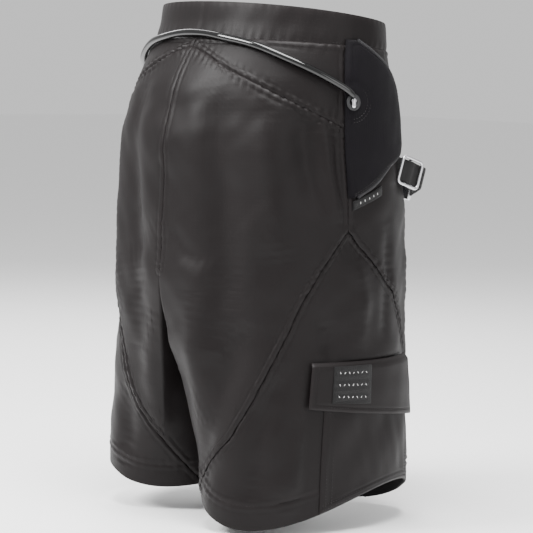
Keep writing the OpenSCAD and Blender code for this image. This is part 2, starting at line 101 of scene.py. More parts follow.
def leg_xy(a, z, s):
    w = smooth((CROTCH_Z - z) / 236)
    r = np.radians(a)
    ex = HEM_HALF_W + 2 + HEM_HALF_W * np.cos(r)
    ey = np.where(np.sin(r) > 0, 130 if s > 0 else 140, 136) * np.sin(r)
    dx, dy = trunk_xy(np.clip(a, -CORNER_A, CORNER_A) * 90 / CORNER_A, z)
    f = (np.where(a > 0, a, a + 360) - CORNER_A) / (360 - 2 * CORNER_A)
    inner = np.abs(a) > CORNER_A
    yb, yf = trunk_xy(90 + 0 * z, z)[1], trunk_xy(-90 + 0 * z, z)[1]
    dx, dy = np.where(inner, 0, dx), np.where(inner, mix(yb, yf, f), dy)
    clear = 1.5 * smooth((CROTCH_Z - z) / 25)
    return np.maximum(mix(dx, ex, w), clear), mix(dy, ey, w)


def shell_raw(a, z, s):
    a, z = np.broadcast_arrays(np.asarray(a, float), np.asarray(z, float))
    tx, ty = trunk_xy(a * 90 / CORNER_A, z)
    lx, ly = leg_xy(a, z, s)
    up = z > CROTCH_Z + 0.01
    return np.stack([s * np.where(up, tx, lx), np.where(up, ty, ly), z], -1)


def shell_normal(a, z, s):
    da = shell_raw(a + 2, z, s) - shell_raw(a - 2, z, s)
    dz = shell_raw(a, z + 4, s) - shell_raw(a, z - 4, s)
    n = np.cross(da, dz) * s
    return n / np.maximum(np.linalg.norm(n, axis=-1, keepdims=True), 1e-6)


def shell_pt(a, z, s, off=0.0):
    """A point at a distance off the garment, square to it."""
    return shell_raw(a, z, s) + shell_normal(a, z, s) * np.asarray(off, float)[..., None]


def rim_z(a):
    return 0.13 * (trunk_xy(a * 90 / CORNER_A, 0 * a)[1] + 14)


def hem_z(a, s):
    if s > 0:
        return -524 - 14 * np.cos(np.radians(2 * (a - 125)))
    return -539 - 21 * np.cos(np.radians(2 * (a - 60)))


def level_z(l, a, s):
    low = CROTCH_Z + (l - CROTCH_Z) * (hem_z(a, s) - CROTCH_Z) / (HEM_LEVEL - CROTCH_Z)
    return np.where(l > -60, l + rim_z(a) * (1 + l / 60), np.where(l > CROTCH_Z, l, low))


def side_seam(l):
    return mix(19.5, 12.5, np.minimum(-l / 234, 1))


def yoke_level(a):
    return mix(-41, -121, np.clip((CORNER_A - a) / (CORNER_A - 16), 0, 1.2) ** 1.15)


def twist(l, s):
    return 30 * smooth((APEX_Z - l) / 128) if s > 0 else 0 * l


def back_seam(l, s):
    low = np.minimum(np.interp(APEX_Z - l, *BACK_SEAM.T) + twist(l, s), 150)
    return np.where(l > APEX_Z, side_seam(l), low)


def front_seam(l, s):
    return np.where(l > APEX_Z, side_seam(l), np.interp(APEX_Z - l, *FRONT_SEAM.T) + 0.6 * twist(l, s))


def wing_edge(z):
    return np.interp(z, *WING_EDGE.T)


# ---------------------------------------------------------------- meshes
def add_object(name, verts, faces, material, smooth_angle=40):
    """A mesh object from points in millimetres."""
    mesh = bpy.data.meshes.new(name)
    mesh.from_pydata((np.asarray(verts, float) * MM).tolist(), [], faces)
    mesh.validate()
    obj = bpy.data.objects.new(name, mesh)
    bpy.context.scene.collection.objects.link(obj)
    mesh.materials.append(material)
    mesh.shade_smooth()
    mesh.set_sharp_from_angle(angle=math.radians(smooth_angle))
    return obj


def point_attribute(obj, name, values):
    kind = "FLOAT" if np.ndim(values) == 1 else "FLOAT_VECTOR"
    attribute = obj.data.attributes.new(name, kind, "POINT")
    field = "value" if kind == "FLOAT" else "vector"
    attribute.data.foreach_set(field, np.asarray(values, np.float32).ravel())


def lengths(p, axis):
    step = np.linalg.norm(np.diff(p, axis=axis), axis=-1)
    zero = np.zeros_like(np.take(step, [0], axis=axis))
    return np.concatenate([zero, np.cumsum(step, axis=axis)], axis=axis)


def sheet(name, outer, inner, material, wrap=False, wear=None, smooth_angle=40):
    """A closed sheet between two grids of points, with the cloth's own co-ordinates in millimetres."""
    rows, cols = outer.shape[:2]
    n = rows * cols
    idx = np.arange(n).reshape(rows, cols)
    if wrap:
        idx = np.concatenate([idx, idx[:, :1]], 1)
    a, b, c, d = idx[:-1, :-1], idx[:-1, 1:], idx[1:, 1:], idx[1:, :-1]
    quads = [np.stack([a, b, c, d], -1).reshape(-1, 4), np.stack([a, d, c, b], -1).reshape(-1, 4) + n]
    edges = [(idx[0, 1:], idx[0, :-1]), (idx[-1, :-1], idx[-1, 1:])]
    if not wrap:
        edges += [(idx[:-1, 0], idx[1:, 0]), (idx[1:, -1], idx[:-1, -1])]
    for p, q in edges:
        quads.append(np.stack([p, q, q + n, p + n], -1))
    obj = add_object(name, np.concatenate([outer.reshape(-1, 3), inner.reshape(-1, 3)]),
                     np.concatenate(quads).tolist(), material, smooth_angle)
    mean = np.median(lengths(outer, 1)[:, -1]) / max(cols - 1, 1)
    cut = np.stack([np.broadcast_to(np.arange(cols) * mean, (rows, cols)), lengths(outer, 0),
                    np.zeros((rows, cols))], -1).reshape(-1, 3)
    point_attribute(obj, "cut", np.concatenate([cut, cut]))
    worn = np.zeros(n) if wear is None else wear.ravel()
    point_attribute(obj, "wear", np.concatenate([worn, worn]))
    fix_normals(obj)
    return obj


def fix_normals(obj):
    bm = bmesh.new()
    bm.from_mesh(obj.data)
    bmesh.ops.recalc_face_normals(bm, faces=bm.faces)
    bm.to_mesh(obj.data)
    bm.free()


def spaced(n, ease=0.55):
    """Positions from 0 to 1 that crowd towards both ends."""
    t = np.linspace(0, 1, n + 1)
    return mix(t, 0.5 * (1 - np.cos(np.pi * t)), ease)


def curve_points(keys, step):
    """A smooth line through given points, sampled about every step."""
    p = np.array(keys, float)
    p = np.vstack([2 * p[0] - p[1], p, 2 * p[-1] - p[-2]])
    out = []
    for i in range(1, len(p) - 2):
        n = max(int(np.linalg.norm(p[i + 1] - p[i]) / step), 1)
        t = np.arange(n)[:, None] / n
        a, b, c, d = p[i - 1:i + 3]
        out.append(0.5 * (2 * b + (c - a) * t + (2 * a - 5 * b + 4 * c - d) * t ** 2
                          + (3 * b - a - 3 * c + d) * t ** 3))
    return np.vstack(out + [p[-2:-1]])


def resample(line, step):
    t = lengths(line, 0)
    n = max(int(round(t[-1] / step)), 1)
    at = np.linspace(0, t[-1], n + 1)
    return np.stack([np.interp(at, t, line[:, k]) for k in range(line.shape[1])], -1)


# ---------------------------------------------------------------- seams, folds and the cloth's relief
def on_shell(fn, n=160):
    """Rows of (a, z) from a function of 0..1."""
    t = np.linspace(0, 1, n)
    a, z = fn(t)
    return np.stack([a, z], -1)


def seam_lines(s):
    def at(a, l):
        return a, level_z(l, a, s)

    def run(a_of, l0, l1):
        return on_shell(lambda t: at(a_of(mix(l0, l1, t)), mix(l0, l1, t)))
    lines = {
        "band": on_shell(lambda t: at(mix(CORNER_A, -118, t), -BAND_H + 0 * t)),
        "yoke": on_shell(lambda t: at(mix(CORNER_A, 15.5, t), yoke_level(mix(CORNER_A, 15.5, t)))),
        "side": run(side_seam, -BAND_H, APEX_Z),
        "back": run(lambda l: back_seam(l, s), APEX_Z, HEM_LEVEL),
        "front": run(lambda l: front_seam(l, s), APEX_Z, HEM_LEVEL),
        "inseam": run(lambda l: 180 + 0 * l, CROTCH_Z, HEM_LEVEL),
        "hem": on_shell(lambda t: at(mix(-180, 180, t), HEM_LEVEL + 25 + 0 * t)),
    }
    if s == RIGHT:
        lines["centre_back"] = run(lambda l: CORNER_A + 0 * l, 0, CROTCH_Z)
        lines["centre_front"] = run(lambda l: -CORNER_A + 0 * l, -128, CROTCH_Z)
    return lines


SEAMS = {(s, k): v for s in (LEFT, RIGHT) for k, v in seam_lines(s).items()}
# Height of the pucker waves along each kind of seam, in millimetres
PUCKER = {"band": 0.35, "yoke": 0.85, "side": 0.45, "back": 0.6, "front": 0.6, "inseam": 0.4, "hem": 0.4,
          "centre_back": 0.5, "centre_front": 0.4}


def seam_index():
    pts, info = [], []
    for (s, kind), line in SEAMS.items():
        p = shell_raw(line[:, 0], line[:, 1], s)
        p = resample(p, 2.5)
        pts.append(p)
        info.append(np.stack([lengths(p, 0), np.full(len(p), PUCKER[kind])], -1))
    pts, info = np.vstack(pts), np.vstack(info)
    tree = KDTree(len(pts))
    for i, p in enumerate(pts):
        tree.insert(p, i)
    tree.balance()
    return tree, info


TREE, TREE_INFO = seam_index()


def near_seams(p):
    flat = p.reshape(-1, 3)
    out = np.empty((len(flat), 3))
    for i, q in enumerate(flat):
        _, k, d = TREE.find(q)
        out[i] = d, TREE_INFO[k, 0], TREE_INFO[k, 1]
    return [out[:, k].reshape(p.shape[:-1]) for k in range(3)]


# Soft folds: (side, height, half width, [(angle, height z), ...]); a negative height is a valley
FOLDS = [
    (RIGHT, -7, 26, [(100, -60), (92, -120), (88, -200), (84, -290), (90, -380)]),
    (RIGHT, 5, 22, [(66, -75), (60, -130), (58, -200), (52, -270)]),
    (RIGHT, -4, 16, [(42, -100), (38, -160), (30, -220)]),
    (RIGHT, 3.5, 11, [(30, -110), (26, -170), (19, -226)]),
    (RIGHT, -3, 7, [(22, -122), (20, -170), (15, -222)]),
    (RIGHT, -5, 20, [(70, -330), (82, -400), (100, -470), (112, -530)]),
    (RIGHT, 4, 20, [(100, -300), (104, -380), (100, -450)]),
    (RIGHT, -3.5, 14, [(48, -390), (56, -450), (60, -540)]),
    (RIGHT, 3.5, 16, [(30, -430), (36, -490), (40, -545)]),
    (RIGHT, -3, 12, [(24, -330), (18, -380)]),
    (RIGHT, 3, 14, [(6, -260), (0, -310), (2, -365)]),
    (RIGHT, -3, 12, [(-20, -225), (-24, -290), (-20, -350)]),
    (RIGHT, 4, 16, [(-60, -200), (-62, -280), (-66, -360), (-70, -440)]),
    (RIGHT, -5, 18, [(-96, -180), (-92, -280), (-96, -400), (-92, -500)]),
    (RIGHT, 5, 18, [(-118, -330), (-122, -420), (-118, -520)]),
    (RIGHT, -4, 14, [(150, -300), (140, -340), (128, -400)]),
    (LEFT, -6, 24, [(96, -70), (92, -140), (96, -220), (104, -300), (108, -390)]),
    (LEFT, 5, 22, [(66, -80), (64, -160), (70, -250), (80, -350)]),
    (LEFT, -4, 16, [(44, -110), (42, -200), (48, -290)]),
    (LEFT, 4, 16, [(122, -330), (118, -400), (124, -480)]),
    (LEFT, -4, 16, [(92, -420), (96, -470), (92, -520)]),
    (LEFT, 4, 18, [(30, -250), (28, -340), (34, -440)]),
    (LEFT, -4, 16, [(6, -240), (2, -330), (8, -430), (4, -510)]),
    (LEFT, 4, 16, [(-26, -210), (-30, -310), (-28, -420)]),
    (LEFT, -5, 18, [(-62, -190), (-60, -290), (-64, -400), (-60, -500)]),
    (LEFT, 5, 18, [(-98, -180), (-96, -290), (-100, -400), (-98, -510)]),
    (LEFT, -4, 14, [(150, -300), (142, -350), (136, -410)]),
    (RIGHT, -1.6, 14, [(120, -235), (108, -262), (92, -276)]),
    (LEFT, -1.6, 14, [(120, -232), (106, -258), (90, -272)]),
    (RIGHT, -2, 14, [(-122, -240), (-108, -258), (-92, -268)]),
    (LEFT, -2, 14, [(-122, -242), (-110, -262), (-94, -274)]),
]


def fold_relief(p, s):
    flat = p.reshape(-1, 3)
    total = np.zeros(len(flat))
    for side, height, width, keys in FOLDS:
        if side != s:
            continue
        k = np.array(keys, float)
        line = resample(curve_points(shell_raw(k[:, 0], k[:, 1], s), 12), 9)
        lo, hi = line.min(0) - 3 * width, line.max(0) + 3 * width
        near = np.where(((flat > lo) & (flat < hi)).all(1))[0]
        if not len(near):
            continue
        q = flat[near][:, None, :] - line[None]
        d2 = (q ** 2).sum(-1)
        best = d2.argmin(1)
        t = best / (len(line) - 1)
        ends = np.sin(np.pi * np.clip(t, 0.02, 0.98)) ** 0.6
        total[near] += height * ends * np.exp(-d2[np.arange(len(near)), best] / (2 * (width * 0.62) ** 2))
    return total.reshape(p.shape[:-1])


def wave_noise(p, scale, seed):
    """Cheap smooth noise from a few sine waves of mixed directions."""
    rng = np.random.default_rng(seed)
    out = 0
    for _ in range(9):
        k = rng.normal(size=3)
        k *= rng.uniform(0.6, 1.6) * 2 * np.pi / scale / np.linalg.norm(k)
        out = out + np.sin(p @ k + rng.uniform(0, 2 * np.pi))
    return out / 3.0


POCKET_A = (32, -48)
FLAP_TOP = -376


def covered(a, z, s):
    """1 under the wing, the pocket or the fly, where the cloth lies flat."""
    wing = smooth((side_seam(z) + 4 - a) / 5) * smooth((a - wing_edge(z) + 6) / 6) * smooth((z + 202) / 6)
    wing = wing * (z < -18)
    fly = smooth((-108 - a) / 6) * smooth((z + 150) / 20)
    out = np.maximum(wing, fly)
    if s == RIGHT:
        pocket = smooth((POCKET_A[0] + 3 - a) / 5) * smooth((a - POCKET_A[1] + 4) / 5)
        out = np.maximum(out, pocket * smooth((FLAP_TOP + 4 - z) / 6))
    return out


PUCKER_GAIN, FOLD_GAIN = 1.1, 1.35
GROOVE_DEPTH, RIDGE_HEIGHT, TOPSTITCH_DEPTH = 1.1, 0.6, 0.45


def relief(p, a, z, s):
    """Distance of the cloth off the plain garment shape, and how worn it is."""
    d, t, pucker = near_seams(p)
    free = 1 - covered(a, z, s)
    phase = wave_noise(p, 60, 3) * 2.2
    waves = np.sin(2 * np.pi * t / 9.5 + phase) + 0.5 * np.sin(2 * np.pi * t / 5.7 + 1.7 * phase)
    out = pucker * PUCKER_GAIN * waves * np.exp(-(d / 9.0) ** 2) * (1 - 0.5 * np.exp(-(d / 1.5) ** 2))
    out = out - GROOVE_DEPTH * np.exp(-(d / 1.6) ** 2) + RIDGE_HEIGHT * np.exp(-((d - 3.6) / 1.8) ** 2)
    out = out - TOPSTITCH_DEPTH * np.exp(-((d - 6.6) / 0.9) ** 2)
    loose = smooth((-z - 45) / 60)
    fold = FOLD_GAIN * fold_relief(p, s)
    out = out + free * loose * fold * (0.2 + 0.8 * smooth(d / 14) ** 0.7)
    out = out + free * loose * (1.0 * wave_noise(p, 95, 11) + 0.35 * wave_noise(p, 34, 12))
    gap = np.where(np.abs(a) > 150, np.abs(p[..., 0]), 99)
    out = np.where(out > 0, np.minimum(out, np.maximum(gap - 0.6, 0)), out)
    worn = np.exp(-(d / 3.0) ** 2) * 0.8
    return out, worn


def cloth_surface(s, a, l):
    """Points, faces, cut co-ordinates and wear of a piece of the garment over a grid of angles and levels."""
    z = level_z(l, a, s)
    p = shell_raw(a, z, s)
    off, worn = relief(p, a, z, s)
    outer = p + shell_normal(a, z, s) * off[..., None]
    rows, cols = a.shape
    idx = np.arange(rows * cols).reshape(rows, cols)
    quads = np.stack([idx[:-1, :-1], idx[:-1, 1:], idx[1:, 1:], idx[1:, :-1]], -1).reshape(-1, 4)
    if s < 0:
        quads = quads[:, ::-1]
    cut = np.stack([np.radians(a) * CUT_RADIUS, -z, 0 * z], -1)
    return outer.reshape(-1, 3), quads.tolist(), cut.reshape(-1, 3), worn.ravel()


def cloth_panel(name, s, grids, flip=False):
    """A cloth panel made of grids that share their borders, thickened inwards."""
    pieces = [cloth_surface(s, a, l) for a, l in grids]
    verts, faces = join([(v, f) for v, f, _, _ in pieces])
    obj = add_object(name, verts, faces, MAT["cloth"], 50)
    point_attribute(obj, "cut", np.concatenate([c for _, _, c, _ in pieces]))
    point_attribute(obj, "wear", np.concatenate([w for _, _, _, w in pieces]))
    bm = bmesh.new()
    bm.from_mesh(obj.data)
    bmesh.ops.remove_doubles(bm, verts=bm.verts, dist=0.12 * MM)
    if flip:
        bmesh.ops.reverse_faces(bm, faces=bm.faces)
    bm.to_mesh(obj.data)
    bm.free()
    thick = obj.modifiers.new("thickness", "SOLIDIFY")
    thick.thickness, thick.offset = CLOTH_T * MM, -1
    keep(obj, "root", "shell_cloth", name)


def between(s, rows, cols, top, bottom, left, right, top_at, bottom_at):
    """Grid of angles and levels between two seams and two levels."""
    v, u = spaced(rows)[:, None], spaced(cols)[None]
    l0 = mix(top_at, bottom_at, v) + 0 * u
    a = mix(left(l0), right(l0), u)
    return a, mix(top(a), bottom(a), v)


# ---------------------------------------------------------------- materials
def new_material(name, color, rough, metal=0.0):
    m = bpy.data.materials.new(name)
    m.use_nodes = True
    b = m.node_tree.nodes["Principled BSDF"]
    b.inputs["Base Color"].default_value = (*color, 1)
    b.inputs["Roughness"].default_value = rough
    b.inputs["Metallic"].default_value = metal
    return m, m.node_tree.nodes, m.node_tree.links, b


def shade(color, k):
    return tuple(min(c * k, 1.0) for c in color)


def soft_finish(b, sheen, sheen_rough, specular):
    b.inputs["Sheen Weight"].default_value = sheen
    b.inputs["Sheen Roughness"].default_value = sheen_rough
    b.inputs["Specular IOR Level"].default_value = specular


class Graph:
    """Short names for the few node kinds that the materials use."""

    def __init__(self, nodes, links):
        self.nodes, self.links = nodes, links

    def put(self, socket, value):
        if isinstance(value, (int, float, tuple)):
            socket.default_value = value
        else:
            self.links.new(value, socket)

    def math(self, op, a, b=0.0, c=0.0):
        n = self.nodes.new("ShaderNodeMath")
        n.operation = op
        for i, v in enumerate((a, b, c)):
            self.put(n.inputs[i], v)
        return n.outputs[0]

    def attribute(self, name):
        n = self.nodes.new("ShaderNodeAttribute")
        n.attribute_name = name
        return n

    def noise(self, vector, scale, detail=3.0, rough=0.55):
        n = self.nodes.new("ShaderNodeTexNoise")
        self.put(n.inputs["Vector"], vector)
        n.inputs["Scale"].default_value = scale
        n.inputs["Detail"].default_value = detail
        n.inputs["Roughness"].default_value = rough
        return n.outputs["Fac"]

    def object_place(self):
        return self.nodes.new("ShaderNodeTexCoord").outputs["Object"]

    def remap(self, value, lo, hi, to_lo, to_hi):
        n = self.nodes.new("ShaderNodeMapRange")
        for i, v in enumerate((value, lo, hi, to_lo, to_hi)):
            self.put(n.inputs[i], v)
        return n.outputs[0]

    def mix_color(self, fac, a, b):
        n = self.nodes.new("ShaderNodeMix")
        n.data_type = "RGBA"
        self.put(n.inputs["Factor"], fac)
        self.put(n.inputs["A"], (*a, 1) if isinstance(a, tuple) else a)
        self.put(n.inputs["B"], (*b, 1) if isinstance(b, tuple) else b)
        return n.outputs["Result"]

    def bump(self, height, distance, strength):
        n = self.nodes.new("ShaderNodeBump")
        n.inputs["Distance"].default_value = distance
        n.inputs["Strength"].default_value = strength
        self.put(n.inputs["Height"], height)
        return n.outputs["Normal"]

    def wave(self, value, pitch):
        """A sine of a length in millimetres, 0 to 1."""
        turned = self.math("MULTIPLY", value, 2 * math.pi / pitch)
        return self.math("MULTIPLY_ADD", self.math("SINE", turned), 0.5, 0.5)


def split(g, vector):
    n = g.nodes.new("ShaderNodeSeparateXYZ")
    g.links.new(vector, n.inputs[0])
    return n.outputs[0], n.outputs[1]


def shell_cloth(name, base, worn, rough=0.46, sheen=0.012, grid=5.0, weave=0.9):
    """Satin microfibre with a fine ripstop grid, faded along its seams."""
    m, nodes, links, b = new_material(name, base, rough)
    g = Graph(nodes, links)
    u, v = split(g, g.attribute("cut").outputs["Vector"])
    place = g.object_place()
    cloud = g.noise(place, 9.0, 3.0)
    grain = g.noise(place, 900.0, 2.0, 0.7)
    fade = g.math("MULTIPLY", g.attribute("wear").outputs["Fac"], 0.5)
    fade = g.math("ADD", fade, g.math("MULTIPLY", g.math("SUBTRACT", cloud, 0.5), 0.7))
    fade = g.math("ADD", fade, g.math("MULTIPLY", g.math("SUBTRACT", grain, 0.5), 0.5))
    links.new(g.mix_color(g.remap(fade, -0.5, 1.0, 0.0, 1.0), base, worn), b.inputs["Base Color"])
    links.new(g.remap(cloud, 0.2, 0.8, rough - 0.05, rough + 0.06), b.inputs["Roughness"])
    lines = [g.math("GREATER_THAN", g.wave(x, grid), 0.985) for x in (u, v)]
    cells = g.math("MAXIMUM", *lines)
    threads = g.math("ADD", g.wave(u, weave), g.wave(v, weave))
    height = g.math("ADD", g.math("MULTIPLY", cells, 0.25), g.math("MULTIPLY", threads, 0.05))
    height = g.math("ADD", height, g.math("MULTIPLY", grain, 0.5))
    links.new(g.bump(height, 0.0002, 0.5), b.inputs["Normal"])
    b.inputs["Sheen Tint"].default_value = (0.9, 0.86, 0.88, 1)
    soft_finish(b, sheen, 0.42, 0.13)
    return m


def neoprene(name, base, rough=0.8, sheen=0.01, knit=1.6):
    """Knit-faced neoprene: a fine stockinette over a soft uneven surface."""
    m, nodes, links, b = new_material(name, base, rough)
    g = Graph(nodes, links)
    u, v = split(g, g.attribute("cut").outputs["Vector"])
    place = g.object_place()
    cloud = g.noise(place, 30.0)
    grain = g.noise(place, 1500.0, 2.0, 0.7)
    tone = g.remap(g.math("ADD", cloud, grain), 0.5, 1.5, 0.0, 1.0)
    links.new(g.mix_color(tone, shade(base, 0.7), shade(base, 1.7)), b.inputs["Base Color"])
    links.new(g.remap(cloud, 0.3, 0.7, rough - 0.08, rough + 0.08), b.inputs["Roughness"])
    loops = g.math("MULTIPLY", g.wave(g.math("ADD", u, g.math("MULTIPLY", g.wave(v, knit), 0.5)), knit), 0.6)
    height = g.math("ADD", loops, g.math("MULTIPLY", grain, 0.9))
    links.new(g.bump(height, 0.0003, 0.6), b.inputs["Normal"])
    soft_finish(b, sheen, 0.5, 0.12)
    return m


def webbing_cloth(name, base, rib=2.0, rough=0.6):
    """Woven webbing: chevron ribs along the strap."""
    m, nodes, links, b = new_material(name, base, rough)
    g = Graph(nodes, links)
    u, v = split(g, g.attribute("cut").outputs["Vector"])
    zig = g.math("ABSOLUTE", g.math("SUBTRACT", g.math("FRACT", g.math("MULTIPLY", v, 1 / 7.6)), 0.5))
    slant = g.math("ADD", u, g.math("MULTIPLY", zig, 7.6))
    ribs = g.wave(slant, rib)
    grain = g.noise(g.object_place(), 1200.0, 2.0, 0.7)
    tone = g.math("ADD", g.math("MULTIPLY", ribs, 0.6), g.math("MULTIPLY", grain, 0.6))
    tint = g.mix_color(g.remap(tone, 0.1, 1.1, 0.0, 1.0), shade(base, 0.55), shade(base, 1.6))
    links.new(tint, b.inputs["Base Color"])
    links.new(g.remap(grain, 0.3, 0.7, rough - 0.08, rough + 0.1), b.inputs["Roughness"])
    links.new(g.bump(tone, 0.0005, 0.8), b.inputs["Normal"])
    soft_finish(b, 0.06, 0.4, 0.25)
    return m


def metal(name, base, rough=0.28):
    """Satin stainless steel with fine scratches and slightly uneven gloss."""
    m, nodes, links, b = new_material(name, base, rough, 1.0)
    g = Graph(nodes, links)
    place = g.object_place()
    cloud = g.noise(place, 60.0, 4.0)
    fine = g.noise(place, 700.0, 4.0, 0.7)
    links.new(g.mix_color(cloud, shade(base, 0.82), shade(base, 1.1)), b.inputs["Base Color"])
    links.new(g.remap(fine, 0.3, 0.7, rough - 0.07, rough + 0.12), b.inputs["Roughness"])
    links.new(g.bump(fine, 0.00008, 0.5), b.inputs["Normal"])
    return m


def plastic(name, base, rough=0.2, coat=0.0, grain_scale=500.0):
    """Smooth or moulded plastic with faint mottling and handling marks."""
    m, nodes, links, b = new_material(name, base, rough)
    g = Graph(nodes, links)
    place = g.object_place()
    cloud = g.noise(place, 25.0, 4.0)
    fine = g.noise(place, grain_scale, 3.0)
    links.new(g.mix_color(cloud, shade(base, 0.8), shade(base, 1.35)), b.inputs["Base Color"])
    links.new(g.remap(cloud, 0.3, 0.7, max(rough - 0.05, 0.03), rough + 0.08), b.inputs["Roughness"])
    links.new(g.bump(fine, 0.00006, 0.5), b.inputs["Normal"])
    b.inputs["Coat Weight"].default_value = coat
    b.inputs["Coat Roughness"].default_value = 0.08
    return m


def fuzzy(name, base, rough=0.9, scale=700.0):
    """Hook-and-loop tape or thread: short dense fibres."""
    m, nodes, links, b = new_material(name, base, rough)
    g = Graph(nodes, links)
    fine = g.noise(g.object_place(), scale, 3.0, 0.8)
    links.new(g.mix_color(fine, shade(base, 0.5), shade(base, 1.8)), b.inputs["Base Color"])
    links.new(g.remap(fine, 0.2, 0.8, rough - 0.1, min(rough + 0.1, 1.0)), b.inputs["Roughness"])
    links.new(g.bump(fine, 0.0004, 0.7), b.inputs["Normal"])
    b.inputs["Specular IOR Level"].default_value = 0.2
    b.inputs["Sheen Weight"].default_value = 0.04
    return m


MAT = {
    "cloth": shell_cloth("cloth", (0.0040, 0.0031, 0.0031), (0.0125, 0.0102, 0.0104)),
    "lining": shell_cloth("lining", (0.0045, 0.004, 0.0043), (0.012, 0.011, 0.0115),
                          rough=0.7, sheen=0.04, grid=3.0),
    "neoprene": neoprene("neoprene", (0.0028, 0.0022, 0.0032)),
    "binding": webbing_cloth("binding", (0.017, 0.0165, 0.018), rib=2.2, rough=0.55),
    "webbing": webbing_cloth("webbing", (0.0055, 0.005, 0.0052)),
    "steel": metal("steel", (0.66, 0.66, 0.68)),
    "sleeve": plastic("sleeve", (0.0012, 0.0012, 0.0013), rough=0.09, coat=0.15),
    "moulded": plastic("moulded", (0.012, 0.012, 0.013), rough=0.42),
    "rope": fuzzy("rope", (0.5, 0.5, 0.48), rough=0.7),
    "foam": neoprene("foam", (0.012, 0.012, 0.014), rough=0.85, knit=2.4),
    "tape": fuzzy("tape", (0.01, 0.01, 0.0105)),
    "thread": fuzzy("thread", (0.017, 0.015, 0.0155), rough=0.5, scale=1500.0),
    "print": fuzzy("print", (0.62, 0.62, 0.61), rough=0.6, scale=1500.0),
    "label": webbing_cloth("label", (0.0035, 0.0032, 0.0034), rib=0.9, rough=0.6),
}


def keep(obj, body, slot, *nodes):
    """Rides on a body and stands for the CAD nodes that it names; the slot is not used."""
    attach(obj, body)
    if nodes:
        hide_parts(*nodes)


# ---------------------------------------------------------------- cloth panels
def make_shell():
    for s in (LEFT, RIGHT):
        name = SIDE_NAME[s]

        def back(l):
            return back_seam(l, s)

        def back_limit(l):
            return np.maximum(CORNER_A, back(l))

        def front(l):
            return front_seam(l, s)

        def same(value):
            return lambda x: value + 0 * x

        def fly_edge(l):
            return np.where(l > -126, -120.0, -CORNER_A)
        end = CROTCH_Z + 0.05
        yoke = between(s, 26, 80, same(-BAND_H), yoke_level, side_seam, same(CORNER_A), -BAND_H, -121)
        cloth_panel("yoke_" + name, s, [yoke])
        trunk = between(s, 60, 84, yoke_level, same(end), back, same(CORNER_A), -121, end)
        inner = between(s, 88, 30, same(CROTCH_Z), same(HEM_LEVEL), back_limit, same(180.0), CROTCH_Z,
                        HEM_LEVEL)
        leg = between(s, 88, 84, same(CROTCH_Z), same(HEM_LEVEL), back, back_limit, CROTCH_Z, HEM_LEVEL)
        cloth_panel("back_panel_" + name, s, [trunk, leg, inner])
        trunk = between(s, 84, 84, same(-BAND_H), same(end), fly_edge, front, -BAND_H, end)
        leg = between(s, 88, 84, same(CROTCH_Z), same(HEM_LEVEL), same(-CORNER_A), front, CROTCH_Z, HEM_LEVEL)
        inner = between(s, 88, 30, same(CROTCH_Z), same(HEM_LEVEL), same(-180.0), same(-CORNER_A), CROTCH_Z,
                        HEM_LEVEL)
        cloth_panel("front_panel_" + name, s, [trunk, leg, inner])
        side = between(s, 104, 90, same(APEX_Z - 1), same(HEM_LEVEL), front, back, APEX_Z - 1, HEM_LEVEL)
        cloth_panel("side_panel_" + name, s, [side], flip=True)
        make_hem_facing(s)


def make_hem_facing(s):
    a, l = np.meshgrid(np.linspace(-180, 180, 161)[:-1], np.linspace(HEM_LEVEL + 24, HEM_LEVEL + 0.6, 9))
    z = level_z(l, a, s)
    p, n = shell_raw(a, z, s), shell_normal(a, z, s)
    off, worn = relief(p, a, z, s)
    off = np.minimum(off, 0) - CLOTH_T - 0.4
    obj = sheet("hem_facing_" + SIDE_NAME[s], p + n * off[..., None], p + n * (off - 0.9)[..., None],
                MAT["lining"], wrap=True, wear=worn)
    keep(obj, "root", "lining", "hem_facing_" + SIDE_NAME[s])


def make_waistband():
    """Waistband: a puffy doubled band, open under the fly, with its facing inside."""
    v = spaced(16)[:, None]
    a = np.linspace(-118, 2 * CORNER_A + 118, 360)[None]
    l = mix(0, -BAND_H, v) + 0 * a
    a = a + 0 * v
    z = level_z(l, a, LEFT)
    p, n = shell_raw(a, z, LEFT), shell_normal(a, z, LEFT)
    puff = 1.5 * (1 - np.abs(2 * v - 1) ** 3.5)
    girth = lengths(p[:1], 1)
    ripple = 0.35 * wave_noise(p, 40, 21) + 0.30 * np.sin(2 * np.pi * girth / 11 + wave_noise(p, 90, 5) * 2) \
        * (np.exp(-((v - 1) / 0.25) ** 2) + 0.7 * np.exp(-(v / 0.15) ** 2))
    seam = -0.9 * np.exp(-((a - CORNER_A) / 0.9) ** 2)
    off = puff + ripple + seam
    worn = np.exp(-(v / 0.08) ** 2) + 0.6 * np.exp(-((1 - v) / 0.08) ** 2) + 0 * a
    obj = sheet("waistband", p + n * off[..., None], p + n * (off * 0.3 - 1.6)[..., None], MAT["cloth"],
                wear=worn)
    keep(obj, "root", "shell_cloth", "waistband")
    rows = slice(1, 16)
    inner = p[rows] - n[rows] * 2.3
    obj = sheet("waistband_facing", inner, inner - n[rows] * 1.1, MAT["lining"])
    keep(obj, "root", "lining", "waistband_facing")


# ---------------------------------------------------------------- stitching
STITCH = {"root": [], "flap": [], "fly": []}


def surface_line(line, s, shift, lift):
    """A stitch line in 3-D on the cloth's relief, moved sideways by shift along the cloth."""
    a, z = line[:, 0], line[:, 1]
    p = shell_raw(a, z, s)
    n = shell_normal(a, z, s)
    t = np.gradient(p, axis=0)
    t /= np.maximum(np.linalg.norm(t, axis=1, keepdims=True), 1e-6)
    side = np.cross(n, t)
    q = p + side * shift
    off, _ = relief(q, a, z, s)
    return q + n * (off + lift)[:, None], n


